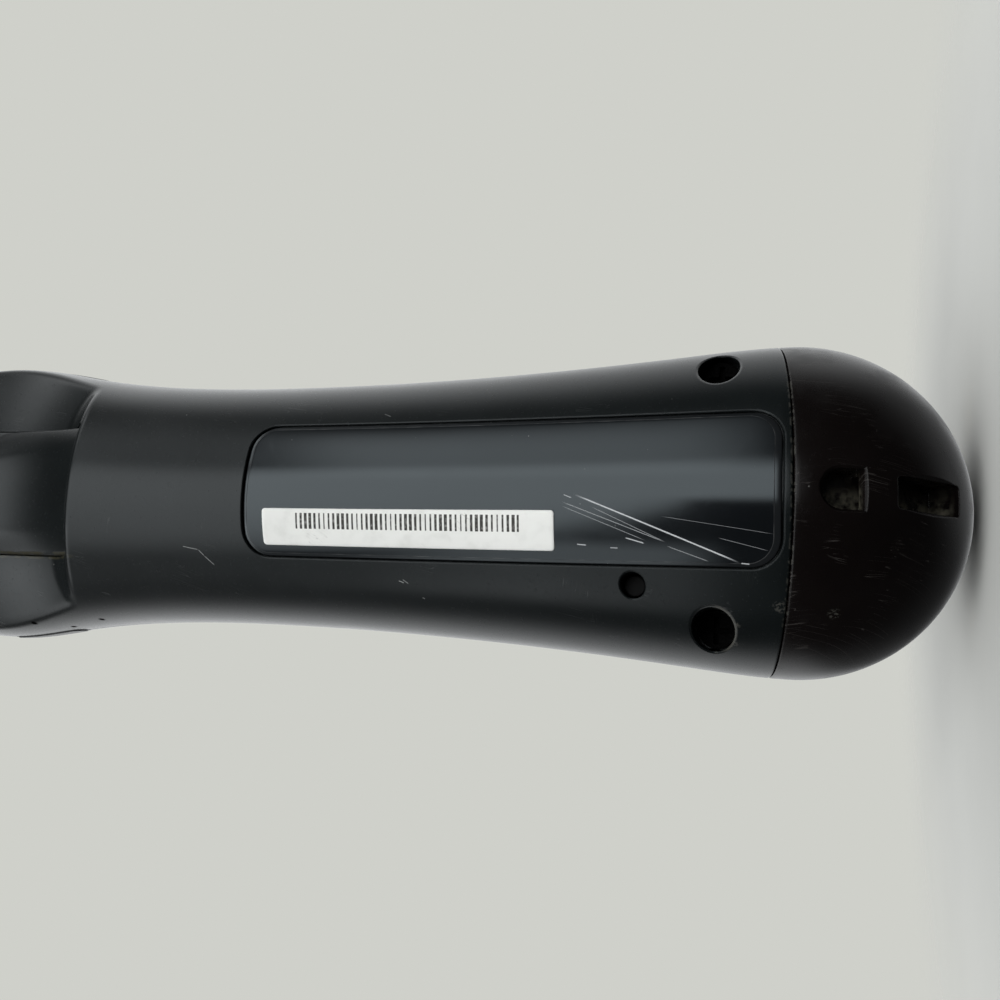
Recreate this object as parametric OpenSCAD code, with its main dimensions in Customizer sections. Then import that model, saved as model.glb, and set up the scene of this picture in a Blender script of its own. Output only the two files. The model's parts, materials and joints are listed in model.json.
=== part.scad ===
// Motion controller wand: a waisted grip with a ball on its neck, buttons in front and a trigger behind.
// Millimetres. Z is the axis, from the pole of the end cap. The buttons face +Y and the trigger faces -Y.

/* [Grip outline] */
// Diameter of the rounded lower end
end_d = 38.5; // [38:0.1:39.5]
// Diameter at the waist
waist_d = 32.4; // [31.8:0.1:33.2]
// Height of the waist
waist_z = 83; // [82:0.5:85]
// Diameter at the shoulder
shoulder_d = 40.3; // [39.5:0.1:41.5]
// Height of the shoulder
shoulder_z = 130; // [129:0.5:131.5]
// Diameter at the neck joint
neck_d = 33.2; // [32.8:0.1:34]
// Height of the neck joint
neck_z = 149; // [148:0.5:151]
// Shell wall
wall = 2; // [1.8:0.1:2.2]
// Joint gap between two shell pieces
seam = 0.1; // [0.05:0.05:0.2]
// Tilt of the end cap joint
cap_tilt = 8; // [6:0.5:10]

/* [Ball and neck] */
// Ball diameter
ball_d = 45; // [44:0.5:46.5]
// Ball wall
ball_wall = 1.5; // [1.2:0.1:1.8]
// Height of the neck collar
collar_h = 10.8; // [10:0.1:12]
// Diameter of the collar lip
lip_d = 30; // [29.6:0.1:30.6]
// Diameter of the ball's spigot
spigot_d = 23; // [22.4:0.1:23.6]

/* [Finger scoop and trigger] */
// Depth of the scoop floor, from the axis
scoop_y = 11.5; // [11:0.1:12]
// Crosswise radius of the scoop floor
scoop_round = 38; // [36:0.5:40]
// Lengthwise radius of the scoop floor
scoop_sweep = 60; // [56:1:64]
// Trigger width
trigger_w = 16.6; // [16:0.1:17.2]
// Trigger depth at its hollow, from the axis
trigger_y = 13.2; // [12.9:0.1:13.6]
// Lengthwise radius of the trigger
trigger_sweep = 48; // [46:1:52]
// Trigger wall
trigger_wall = 3.2; // [2.8:0.1:3.5]
// Side gap of the trigger
trigger_gap = 0.45; // [0.35:0.05:0.6]
// Trigger pin diameter
pin_d = 2; // [1.8:0.1:2.2]
// Running clearance on the pin, radial
pin_play = 0.05; // [0.03:0.01:0.08]

/* [Buttons] */
// Main button width
main_w = 15.6; // [15:0.1:16]
// Main button height
main_h = 19.5; // [18.5:0.1:20.5]
// Face button diameter
face_d = 7; // [6.6:0.1:7.3]
// Sideways distance of the face buttons
face_x = 12.3; // [12:0.1:12.5]
// Lengthwise distance of the face buttons
face_dz = 7.2; // [6.9:0.1:7.6]
// Home button diameter
home_d = 8.4; // [8:0.1:9]
// Side button length
side_l = 11.6; // [11:0.1:12]
// Side button width
side_w = 2.8; // [2.6:0.1:3]
// Height of a button above the shell
proud = 0.8; // [0.6:0.1:1]
// Height of a side button above the shell
side_proud = 0.15; // [0.1:0.05:0.3]
// Gap round a button
button_gap = 0.2; // [0.15:0.05:0.3]
// Reset hole diameter
reset_d = 2.7; // [2.6:0.1:2.9]

/* [Label, strap and ports] */
// Label width
label_w = 16; // [15.6:0.1:16.6]
// Label thickness
label_t = 0.5; // [0.4:0.05:0.6]
// Sticker length
sticker_l = 36.6; // [34:0.2:38]
// Sticker width
sticker_w = 4.3; // [4:0.1:4.6]
// Width of the round strap hole
strap_w = 4.1; // [3.9:0.1:4.3]
// Width of the strap slot
slot_w = 3.3; // [3.1:0.1:3.6]
// Depth of the strap pocket
strap_deep = 4.2; // [4:0.1:4.6]
// Thickness of the strap bar
bar_t = 2; // [1.8:0.1:2.2]
// Charging socket width
usb_w = 7.7; // [7.5:0.1:8]
// Charging socket height
usb_h = 3.9; // [3.8:0.1:4.1]
// Extension socket width
ext_w = 12.4; // [12:0.1:12.8]
// Extension socket height
ext_h = 4.1; // [3.9:0.1:4.3]

/* [Screws and inner pieces] */
// Counterbore of the case screws
case_bore_d = 4.5; // [4.3:0.1:4.8]
// Sideways distance of the case screws
case_x = 14.2; // [14:0.1:14.4]
// Case screw diameter
case_screw_d = 2.2; // [2:0.1:2.4]
// Board screw diameter
board_screw_d = 1.6; // [1.4:0.1:1.8]
// Board thickness
board_t = 1.2; // [1:0.1:1.4]
// Battery thickness
battery_t = 11.6; // [11:0.1:12]
// Battery length
battery_l = 48; // [46:0.5:48.5]
// Motor diameter
motor_d = 8; // [7.6:0.1:8.2]

/* [Hidden] */
$fn = 64;
step = 4;
fit = 0.15;
end_r = end_d / 2;
waist_r = waist_d / 2;
shoulder_r = shoulder_d / 2;
flare_z = end_r + 0.2 * (waist_z - end_r);
flare_r = end_r - 0.263 * (end_r - waist_r);
flare_m = -1.81 * (end_r - waist_r) / (waist_z - end_r);
rise_z = waist_z + 0.766 * (shoulder_z - waist_z);
rise_r = waist_r + 0.659 * (shoulder_r - waist_r);
rise_m = 2.21 * (shoulder_r - waist_r) / (shoulder_z - waist_z);
lip_z = neck_z + collar_h;
seat_r = lip_d / 2 - 1;
ball_r = ball_d / 2;
ball_z = lip_z + sqrt(ball_r * ball_r - seat_r * seat_r);
stations = [
    [end_r, end_r, 0],
    [flare_z, flare_r, flare_m],
    [waist_z, waist_r, 0],
    [rise_z, rise_r, rise_m],
    [shoulder_z, shoulder_r, 0],
    [neck_z, neck_d / 2, -0.3],
    [lip_z, lip_d / 2, -0.05]
];

// cap and grip heights
seam_z = end_r + 2.25;
case_z = end_r + 7.55;
reset_z = end_r + 15.75;
reset_x = -10;
label_z0 = end_r + 0.6;
label_z1 = waist_z - 0.35;
sticker_z0 = waist_z - 3 - sticker_l;

// scoop and trigger
scoop_z = shoulder_z - 8;
ridge_z = shoulder_z - 21.6;
ridge_k = 0.62;
axis_y = scoop_round - scoop_y;
ridge_rho = axis_y + r_at(ridge_z);
pull_z = ridge_z + 15.1;
pull_rho = axis_y + trigger_y;
pull_z0 = ridge_z + 1;
pull_z1 = neck_z - 5.4;
plunger_z = ridge_z + 9;
pin_y = -8.5;
pin_z = neck_z - 9;
pin_r = pin_d / 2;
boss_r = pin_r + 1.3;
opening_x = trigger_w / 2 + trigger_gap;
bracket_t = 2.5;
pin_l = 2 * (opening_x + bracket_t) - 0.4;

// buttons
main_z = shoulder_z - 2;
home_z = shoulder_z - 27;
side_z = shoulder_z - 7;
light_z = waist_z + 11;
lug = 0.9;
lug_t = 1;
lug_gap = 0.3;
plunger_y = 8.9;
button_y = 9;
hole_y = button_y - 4;

// boards
board_y = 5.2;
board_f = board_y + board_t;
mat_t = 0.8;
dome_y = 8;
board_z0 = end_r + 17.25;
board_z1 = neck_z - 8;
wide_z = shoulder_z - 14;
low_x = half_in(waist_z, board_f) - 0.7;
wide_x = half_in(wide_z, board_f + mat_t) - 0.4;
switch_x = wide_x + 0.3;
battery_z1 = waist_z + 7;
battery_z0 = battery_z1 - battery_l;
battery_y1 = 2.6;
battery_y0 = battery_y1 - battery_t;
battery_x = half_in(waist_z, battery_y0) - 0.6;
frame_y = battery_y1 + 0.2;
frame_t = 1;
screw_x = 7.5;
screw_z0 = battery_z0 - 3;
screw_z1 = battery_z1 + 3.2;
motor_y = -1;
motor_z = waist_z + 16.5;
motor_r = motor_d / 2;
port_y = -1.5;
port_f = port_y + board_t;
port_z1 = end_r + 19.15;
port_x = 6.5;
port_screw_z = end_r + 2.75;
port_post_r = 2.1;
board_post_r = 2.2;
case_post_r = 3.2;
led_z = neck_z - 1.3;
ledge_z = neck_z + 2;
bore_r = spigot_d / 2 + 0.2;
flange_r = 13.6;
throat_r = 12;
rib_z = neck_z - 2.2;
light_screw_x = 8.4;

function blend(z, a, b) =
    let (l = b[0] - a[0], t = (z - a[0]) / l, t2 = t * t, t3 = t2 * t)
    (2 * t3 - 3 * t2 + 1) * a[1] + (t3 - 2 * t2 + t) * l * a[2]
    + (3 * t2 - 2 * t3) * b[1] + (t3 - t2) * l * b[2];
function span_of(z, i = 0) = i >= len(stations) - 2 || z <= stations[i + 1][0] ? i : span_of(z, i + 1);
function r_at(z) =
    z < end_r
    ? sqrt(max(0, end_r * end_r - (end_r - z) * (end_r - z)))
    : let (i = span_of(z)) blend(z, stations[i], stations[i + 1]);
function half_in(z, y) = sqrt(pow(r_at(z) - wall, 2) - y * y);
// the outline as straight steps on one set of heights, so that every skin of it is parallel to the others
function grid(i) = end_r + i * step;
function r_on(z) =
    let (i = floor((z - end_r) / step), t = (z - grid(i)) / step)
    (1 - t) * r_at(grid(i)) + t * r_at(grid(i + 1));
function line_of(off, z0, z1) = concat(
    [[r_on(z0) + off, z0]],
    [
        for (i = [floor((z0 - end_r) / step) + 1:ceil((z1 - end_r) / step) - 1])
            if (grid(i) > z0 + 0.01 && grid(i) < z1 - 0.01) [r_at(grid(i)) + off, grid(i)]
    ],
    [[r_on(z1) + off, z1]]
);
function rib_outline() =
    concat([[throat_r + 0.3, rib_z - 0.01]], line_of(0, rib_z - 0.01, neck_z), [[throat_r + 0.3, neck_z]]);
function flip(a) = [for (i = [len(a) - 1:-1:0]) a[i]];
function dome_of(off) = [for (a = [0:6:84]) [(end_r + off) * sin(a), end_r - (end_r + off) * cos(a)]];
function corner(x, z, r, a0) = [for (a = [0:15:90]) [x + r * cos(a0 + a), z + r * sin(a0 + a)]];
function rounded(w, z0, z1, r) = concat(
    corner(w / 2 - r, z1 - r, r, 0),
    corner(r - w / 2, z1 - r, r, 90),
    corner(r - w / 2, z0 + r, r, 180),
    corner(w / 2 - r, z0 + r, r, 270)
);

module along_y(y0, y1) {
    translate([0, y1, 0]) rotate([90, 0, 0]) linear_extrude(y1 - y0) children();
}
module along_x(x0, x1) {
    translate([x0, 0, 0]) rotate([90, 0, 90]) linear_extrude(x1 - x0) children();
}
module rod_y(x, z, r, y0, y1) {
    translate([x, y1, z]) rotate([90, 0, 0]) cylinder(r = r, h = y1 - y0);
}
module rod_x(y, z, r, x0, x1) {
    translate([x0, y, z]) rotate([0, 90, 0]) cylinder(r = r, h = x1 - x0);
}
module box(x0, x1, y0, y1, z0, z1) {
    translate([x0, y0, z0]) cube([x1 - x0, y1 - y0, z1 - z0]);
}
module sides() {
    children();
    mirror([1, 0, 0]) children();
}
module skin(off, z0, z1) {
    rotate_extrude() polygon(concat([[0, z0]], line_of(off, z0, z1), [[0, z1]]));
}
module band(off1, off0, z0, z1, turn = 360) {
    rotate_extrude(angle = turn) polygon(concat(line_of(off1, z0, z1), flip(line_of(off0, z0, z1))));
}
module dome(off, z1) {
    rotate_extrude() polygon(concat(dome_of(off), line_of(off, end_r, z1), [[0, z1]]));
}
module below_seam(dz) {
    translate([0, 0, seam_z + dz]) rotate([cap_tilt, 0, 0]) translate([-50, -50, -100]) cube(100);
}
module scoop_outline(o) {
    drop = o * sqrt(1 + ridge_k * ridge_k);
    rho0 = scoop_round - 8;
    rho1 = scoop_round + 22;
    intersection() {
        translate([scoop_round + scoop_sweep, scoop_z]) circle(r = scoop_sweep + o, $fn = 128);
        polygon([
            [rho0, ridge_z - drop + ridge_k * (ridge_rho - rho0)],
            [rho1, ridge_z - drop + ridge_k * (ridge_rho - rho1)],
            [rho1, neck_z + 20],
            [rho0, neck_z + 20]
        ]);
    }
}
module scoop(o) {
    translate([0, axis_y, 0]) rotate([0, 0, 225]) rotate_extrude(angle = 90) scoop_outline(o);
}
module pull_face(o) {
    translate([0, axis_y, 0]) rotate([0, 0, 235]) rotate_extrude(angle = 70) difference() {
        translate([scoop_round - 20, ridge_z - 4]) square([44, pull_z1 - ridge_z + 12]);
        translate([pull_rho + trigger_sweep, pull_z]) circle(r = trigger_sweep + o, $fn = 128);
    }
}
module pull_opening() {
    low = pull_z0 - trigger_gap;
    along_x(-opening_x, opening_x) polygon([
        [-40, low], [-trigger_y - 2.4, low], [-trigger_y - 0.7, low - 0.25], [2.7 - trigger_y, low - 0.6],
        [-2, low - 0.6], [-2, pull_z1 + 0.5], [-40, pull_z1 + 0.5]
    ]);
}
module case_posts(r, y0, y1) {
    sides() rod_y(case_x, case_z, r, y0, y1);
}
module oval(w, h, z, grow) {
    polygon([for (a = [0:10:350]) [(w / 2 + grow) * cos(a), z + (h / 2 + grow) * sin(a)]]);
}
module disc(d, x, z, grow) {
    translate([x, z]) circle(r = d / 2 + grow);
}
module slot_outline(grow) {
    half = side_l / 2 + grow;
    polygon(rounded(side_w + 2 * grow, side_z - half, side_z + half, side_w / 2 + grow));
}
module button_skin(z, reach, high = proud) {
    difference() {
        skin(high, z - reach, z + reach);
        skin(-wall - lug_gap - 0.6 * lug_t, z - reach - 1, z + reach + 1);
    }
}
module button_lug(z, reach) {
    band(-wall - lug_gap, -wall - lug_gap - lug_t, z - reach, z + reach);
}

// shells
module front_shell() {
    color([0.06, 0.06, 0.065]) difference() {
        union() {
            translate([0, seam / 2, 0]) band(0, -wall, end_r, rib_z, 180);
            translate([0, seam / 2, 0]) rotate_extrude(angle = 180)
                polygon(rib_outline());
            intersection() {
                skin(-0.5, end_r, neck_z);
                union() {
                    case_posts(case_post_r, seam / 2, 20);
                    sides() {
                        rod_y(screw_x, screw_z0, board_post_r, board_f + 0.05, 20);
                        rod_y(screw_x, screw_z1, board_post_r, board_f + 0.05, 20);
                        rod_y(port_x, port_screw_z, port_post_r, port_f + 0.05, 20);
                    }
                }
            }
            intersection() {
                skin(-wall - fit, end_r, neck_z);
                case_posts(case_post_r, -2.5, 1);
            }
        }
        below_seam(seam / 2);
        case_posts(case_screw_d / 2 + 0.05, -10, 4.5);
        sides() {
            rod_y(screw_x, screw_z0, board_screw_d / 2 + 0.05, 0, 10);
            rod_y(screw_x, screw_z1, board_screw_d / 2 + 0.05, 0, 10);
            rod_y(port_x, port_screw_z, board_screw_d / 2 + 0.05, -4, 4.5);
            along_y(hole_y, 30) disc(face_d, face_x, main_z + face_dz, button_gap);
            along_y(hole_y, 30) disc(face_d, face_x, main_z - face_dz, button_gap);
            along_x(button_y, 30) slot_outline(button_gap);
        }
        along_y(hole_y, 30) oval(main_w, main_h, main_z, button_gap);
        along_y(hole_y, 30) disc(home_d, 0, home_z, button_gap);
        rod_y(0, light_z, 0.9 + 0.05, hole_y, 30);
    }
}
module rear_shell() {
    color([0.06, 0.06, 0.065]) {
        difference() {
            union() {
                translate([0, -seam / 2, 0]) rotate([0, 0, 180]) band(0, -wall, end_r - 4, rib_z, 180);
                translate([0, -seam / 2, 0]) rotate([0, 0, 180]) rotate_extrude(angle = 180)
                    polygon(rib_outline());
                intersection() {
                    skin(-0.4, ridge_z - 6, neck_z - 0.5);
                    scoop(wall);
                    box(-40, 40, -40, -seam / 2, 0, neck_z);
                }
                intersection() {
                    skin(-0.5, end_r, neck_z - 0.5);
                    union() {
                        case_posts(3.7, -20, -4);
                        sides() box(opening_x, opening_x + bracket_t, -20, -3.2, pin_z - 4, pin_z + 4);
                    }
                }
            }
            below_seam(seam / 2);
            scoop(0);
            pull_opening();
            case_posts(case_bore_d / 2, -30, -6);
            case_posts(case_screw_d / 2 + 0.15, -7, 0);
            rod_y(reset_x, reset_z, reset_d / 2, -30, -5);
            rod_x(pin_y, pin_z, pin_r + 0.02, -pin_l / 2 - 0.5, pin_l / 2 + 0.5);
            sides() along_x(button_y, 30) slot_outline(button_gap);
            intersection() {
                band(3, -label_t - 0.2, label_z0 - 2, label_z1 + 2);
                along_y(-40, 0) polygon(rounded(label_w + 2 * fit, label_z0 - fit, label_z1 + fit, 3 + fit));
            }
        }
        box(-opening_x - 0.3, opening_x + 0.3, -4.6, -3.4, pin_z - 4, pin_z - 2.6);
    }
}
module strap_cut(a) {
    translate([0, 0, end_r]) rotate([90 - a, 0, 0]) along_y(-end_r - 5, strap_deep - end_r) children();
}
module end_cap() {
    a0 = 57.8;
    a1 = 68.2;
    a_round = 80.6 - asin(strap_w / 2 / end_r);
    slot_a = 30;
    slot_l = 2 * end_r * sin((a0 - slot_a) / 2);
    color([0.05, 0.045, 0.045]) difference() {
        union() {
            intersection() {
                difference() {
                    dome(0, seam_z + 8);
                    dome(-wall, seam_z + 9);
                }
                below_seam(-seam / 2);
            }
            intersection() {
                band(-wall + 0.6, -wall - 1.4, end_r - 3.8, seam_z + 8);
                below_seam(-seam / 2);
            }
            difference() {
                intersection() {
                    band(-wall - fit, -wall - 1.65, end_r - 3, seam_z + 8);
                    below_seam(2.4);
                }
                case_posts(case_post_r + 0.8, -20, 20);
                sides() rod_y(port_x, port_screw_z, port_post_r + 0.3, 0, 20);
            }
            difference() {
                intersection() {
                    skin(-wall - fit - 0.2, end_r - 2, case_z + 8);
                    along_y(-3.95, -2.6) sides() {
                        translate([case_x, case_z]) circle(r = 2.7);
                        translate([case_x - 2, seam_z - 2.2]) square([end_r - case_x + 2, case_z - seam_z + 2]);
                    }
                }
                case_posts(case_screw_d / 2 + 0.2, -10, 10);
            }
            intersection() {
                dome(-0.5, seam_z);
                below_seam(-seam / 2);
                along_x(-strap_w / 2 - 1.5, strap_w / 2 + 1.5) intersection() {
                    translate([0, end_r]) difference() {
                        circle(r = end_r);
                        circle(r = end_r - strap_deep - 1.6);
                    }
                    polygon([
                        [0, end_r], [-40 * sin(21), end_r - 40 * cos(21)], [-60, end_r - 40],
                        [-40 * sin(84), end_r - 40 * cos(84)]
                    ]);
                }
            }
        }
        // round strap hole, strap slot and the way under the bar
        strap_cut(a_round) {
            circle(d = strap_w);
            translate([-strap_w / 2, -end_r * sin(a_round - a1)]) square([strap_w, end_r * sin(a_round - a1)]);
        }
        strap_cut((slot_a + a0) / 2) translate([-slot_w / 2, -slot_l / 2]) square([slot_w, slot_l]);
        along_x(-slot_w / 2, slot_w / 2) intersection() {
            translate([0, end_r]) difference() {
                circle(r = end_r - bar_t);
                circle(r = end_r - strap_deep);
            }
            polygon([[0, end_r], [-40 * sin(48), end_r - 40 * cos(48)], [-40 * sin(75), end_r - 40 * cos(75)]]);
        }
        box(-ext_w / 2 - 0.25, ext_w / 2 + 0.25, port_y - ext_h - 0.2, port_y + 0.1, -5, 12);
        box(-usb_w / 2 - 0.25, usb_w / 2 + 0.25, port_f - 0.1, port_f + usb_h + 0.2, -5, 12);
        sides() contact_axis() {
            translate([0, 0, end_r - wall - 3]) cylinder(r = 1.65, h = 10);
        }
    }
}
module contact_axis() {
    translate([0, 0, end_r]) rotate([0, 0, 15]) rotate([0, 142, 0]) children();
}
module neck_collar() {
    color([0.05, 0.05, 0.055]) difference() {
        union() {
            rotate_extrude() polygon(concat(
                [[bore_r, neck_z + seam]], line_of(0, neck_z + seam, lip_z), [[bore_r, lip_z]]
            ));
            translate([0, 0, neck_z + seam]) cylinder(r = bore_r + 0.5, h = ledge_z - neck_z - seam);
            translate([0, 0, rib_z - 1]) cylinder(r = throat_r, h = neck_z + seam + 0.5 - rib_z + 1);
            translate([0, 0, rib_z - 1.8]) cylinder(r = flange_r, h = 1.7);
        }
        translate([0, 0, ball_z]) sphere(r = ball_r + fit);
        translate([0, 0, rib_z - 3]) cylinder(r = throat_r - 1.4, h = neck_z - rib_z + 3);
        cylinder(r = 6.5, h = lip_z);
        translate([0, 0, neck_z - 1]) sides() translate([light_screw_x, 0, 0])
            cylinder(r = board_screw_d / 2 + 0.05, h = 5);
    }
}
module ball() {
    color([0.9, 0.9, 0.88]) difference() {
        union() {
            translate([0, 0, ball_z]) sphere(r = ball_r, $fn = 128);
            translate([0, 0, ledge_z + 0.05]) cylinder(d = spigot_d, h = ball_z - ledge_z - ball_r / 2);
        }
        translate([0, 0, ball_z]) sphere(r = ball_r - ball_wall, $fn = 128);
        translate([0, 0, neck_z]) cylinder(r = spigot_d / 2 - 1.4, h = ball_z - neck_z);
    }
}

// label
module label_plate() {
    color([0.08, 0.08, 0.085]) intersection() {
        band(-0.12, -label_t - 0.12, label_z0 - 2, label_z1 + 2);
        along_y(-40, 0) polygon(rounded(label_w, label_z0, label_z1, 3));
    }
}
module sticker() {
    color([0.85, 0.85, 0.85]) intersection() {
        band(0, -0.12, sticker_z0 - 2, sticker_z0 + sticker_l + 2);
        translate([-2.4 - sticker_w / 2, 0, 0]) along_y(-40, 0)
            polygon(rounded(sticker_w, sticker_z0, sticker_z0 + sticker_l, 0.4));
    }
}

// trigger
module trigger() {
    color([0.06, 0.06, 0.065]) difference() {
        union() {
            difference() {
                intersection() {
                    along_y(-40, 0) polygon(rounded(trigger_w, pull_z0, pull_z1, 1.5));
                    pull_face(0);
                    skin(-0.3, pull_z0 - 2, pull_z1 + 2);
                }
                intersection() {
                    pull_face(trigger_wall);
                    skin(-0.3 - trigger_wall, pull_z0 - 3, pull_z1 + 3);
                }
            }
            intersection() {
                sides() along_x(trigger_w / 2 - 2.1, trigger_w / 2 - 0.2) polygon([
                    [-30, pin_z - 14], [-30, pull_z1 - 0.4], [pin_y - 2, pull_z1 - 0.4],
                    [pin_y + boss_r * 0.7, pin_z + boss_r * 0.7], [pin_y + boss_r, pin_z - boss_r * 0.7],
                    [-11, pin_z - 14]
                ]);
                pull_face(0.4);
                skin(-0.7, pull_z0 - 2, pull_z1 + 2);
            }
            sides() rod_x(pin_y, pin_z, boss_r, 4.4, trigger_w / 2 - 0.2);
            box(-2, 2, -12.2, -3.2, plunger_z - 1.4, plunger_z + 1.4);
        }
        rod_x(pin_y, pin_z, pin_r + pin_play, -20, 20);
    }
}
module trigger_pin() {
    color([0.7, 0.7, 0.72]) rod_x(pin_y, pin_z, pin_r, -pin_l / 2, pin_l / 2);
}
module trigger_spring() {
    turns = 4;
    coil = pin_r + 1;
    wire = 0.3;
    last = 360 * turns + 180;
    leg = [[-2, pin_y + coil + 1.4, pin_z - 3.6, -0.4, 1]];
    turn = [for (a = [0:20:last]) [
        -2 + 4 * a / last, pin_y + coil * cos(a), pin_z + coil * sin(a), -sin(a), cos(a)
    ]];
    tail = [[2, pin_y - coil + 0.5, pin_z - 9, 0, -1]];
    path = concat(leg, turn, tail);
    n = len(path);
    ring = [for (p = path) let (l = sqrt(p[3] * p[3] + p[4] * p[4])) for (k = [0:5]) [
        p[0] + wire * cos(60 * k), p[1] - wire * sin(60 * k) * p[4] / l, p[2] + wire * sin(60 * k) * p[3] / l
    ]];
    side = [for (i = [0:n - 2]) for (k = [0:5]) [
        6 * i + k, 6 * i + (k + 1) % 6, 6 * i + 6 + (k + 1) % 6, 6 * i + 6 + k
    ]];
    color([0.6, 0.6, 0.62]) polyhedron(
        ring, concat([[5, 4, 3, 2, 1, 0]], side, [[for (k = [0:5]) 6 * (n - 1) + k]]), convexity = 6
    );
}
module trigger_sensor() {
    color([0.12, 0.12, 0.13]) union() {
        rod_y(0, plunger_z, 2.4, board_y - 1.4, board_y);
        rod_y(0, plunger_z, 1.6, board_y - 3.8, board_y - 1.3);
    }
}

// buttons
module main_button() {
    color([0.09, 0.09, 0.095]) union() {
        intersection() {
            button_skin(main_z, main_h / 2 + 2);
            along_y(button_y, 30) oval(main_w, main_h, main_z, 0);
        }
        intersection() {
            button_lug(main_z, main_h / 2 + 2);
            along_y(button_y, 30) oval(main_w, main_h, main_z, lug);
        }
        rod_y(0, main_z, 2, plunger_y, r_at(main_z) - wall - 0.6);
    }
}
module face_button(x, z) {
    color([0.1, 0.1, 0.105]) union() {
        intersection() {
            button_skin(z, face_d / 2 + 2);
            along_y(button_y, 30) disc(face_d, x, z, 0);
        }
        intersection() {
            button_lug(z, face_d / 2 + 2);
            along_y(button_y + 0.2, 30) disc(face_d, x, z, lug);
        }
        rod_y(x, z, 1.4, plunger_y, half_in(z, x) - 0.6);
    }
}
module face_button_a() {
    face_button(face_x, main_z + face_dz);
}
module face_button_b() {
    face_button(face_x, main_z - face_dz);
}
module face_button_c() {
    face_button(-face_x, main_z - face_dz);
}
module face_button_d() {
    face_button(-face_x, main_z + face_dz);
}
module home_button() {
    color([0.09, 0.09, 0.095]) union() {
        intersection() {
            button_skin(home_z, home_d, -0.25);
            along_y(button_y, 30) disc(home_d, 0, home_z, 0);
        }
        intersection() {
            button_lug(home_z, home_d);
            along_y(button_y, 30) disc(home_d, 0, home_z, lug);
        }
        rod_y(0, home_z, 1.6, plunger_y, r_at(home_z) - wall - 0.6);
    }
}
module side_button() {
    color([0.1, 0.1, 0.105]) union() {
        intersection() {
            button_skin(side_z, side_l / 2 + 2, side_proud);
            along_x(button_y, 30) slot_outline(0);
        }
        intersection() {
            button_lug(side_z, side_l / 2 + 2);
            along_x(button_y, 30) slot_outline(lug);
        }
        along_x(switch_x + 0.7, r_at(side_z) - wall - 0.7) translate([-1, side_z - 1.5]) square([2, 3]);
    }
}
module select_button() {
    side_button();
}
module start_button() {
    mirror([1, 0, 0]) side_button();
}
module status_light() {
    color([0.85, 0.85, 0.8]) union() {
        rod_y(0, light_z, 0.9, board_f + 0.9, r_at(light_z) - 0.1);
        rod_y(0, light_z, 1.6, board_f + 0.9, r_at(light_z) - wall - 0.3);
    }
}
module reset_button() {
    y_in = half_in(reset_z, abs(reset_x) + reset_d / 2 + 0.5);
    color([0.1, 0.1, 0.105]) union() {
        rod_y(reset_x, reset_z, reset_d / 2 - 0.25, 1.2 - half_in(reset_z, reset_x) - wall, 0.9 - y_in);
        rod_y(reset_x, reset_z, reset_d / 2 + 0.5, 0.4 - y_in, 1.4 - y_in);
        rod_y(reset_x, reset_z, 0.8, 1.3 - y_in, port_y - 4.7);
    }
}
module reset_switch() {
    color([0.2, 0.2, 0.2]) union() {
        box(reset_x - 2, reset_x + 2, port_y - 3.4, port_y, reset_z - 2, reset_z + 2);
        rod_y(reset_x, reset_z, 1, port_y - 4.1, port_y - 3.3);
    }
}

// boards
module main_board() {
    color([0.05, 0.25, 0.12]) difference() {
        along_y(board_y, board_f) polygon([
            [low_x, board_z0], [low_x, wide_z - 3], [wide_x, wide_z], [wide_x, board_z1],
            [-wide_x, board_z1], [-wide_x, wide_z], [-low_x, wide_z - 3], [-low_x, board_z0]
        ]);
        sides() {
            rod_y(screw_x, screw_z0, board_screw_d / 2 + 0.1, 0, 20);
            rod_y(screw_x, screw_z1, board_screw_d / 2 + 0.1, 0, 20);
        }
    }
}
module board_chips() {
    color([0.1, 0.1, 0.1]) {
        box(-4, 4, board_f, board_f + 1.1, waist_z - 25, waist_z - 17);
        box(-3, 5, board_f, board_f + 1, waist_z - 10, waist_z - 2);
        box(-6, -2, board_f, board_f + 0.9, waist_z - 36, waist_z - 31);
        box(-0.8, 0.8, board_f, board_f + 0.8, light_z - 0.8, light_z + 0.8);
        box(8, 11, board_y - 2, board_y, motor_z + 6, motor_z + 9);
        box(-3.5, 3.5, board_y - 1.2, board_y, board_z1 - 3, board_z1 - 1);
    }
}
module mat_dome(x, z) {
    rod_y(x, z, 1.9, board_f, dome_y);
}
module keypad_mat() {
    color([0.45, 0.47, 0.5]) union() {
        along_y(board_f, board_f + mat_t) polygon([
            [wide_x, wide_z], [wide_x, board_z1], [-wide_x, board_z1], [-wide_x, wide_z],
            [-low_x + 1, wide_z - 3], [-low_x + 1, home_z - 5], [low_x - 1, home_z - 5], [low_x - 1, wide_z - 3]
        ]);
        mat_dome(0, main_z);
        mat_dome(0, home_z);
        sides() {
            mat_dome(face_x, main_z + face_dz);
            mat_dome(face_x, main_z - face_dz);
        }
    }
}
module side_switches() {
    color([0.2, 0.2, 0.2]) sides() {
        box(switch_x - 3.4, switch_x - 0.6, -1.6, board_y, side_z - 2.2, side_z + 2.2);
        box(switch_x - 0.7, switch_x, -0.7, 0.7, side_z - 0.9, side_z + 0.9);
    }
}
module light_board() {
    color([0.05, 0.25, 0.12]) difference() {
        translate([0, 0, led_z]) cylinder(r = throat_r - 1.8, h = board_t);
        translate([0, 0, led_z - 1]) sides() translate([light_screw_x, 0, 0])
            cylinder(r = board_screw_d / 2 + 0.1, h = 4);
    }
}
module colour_light() {
    color([0.95, 0.95, 0.9]) translate([-2.5, -2.5, led_z + board_t]) cube([5, 5, 1.6]);
}
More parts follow.
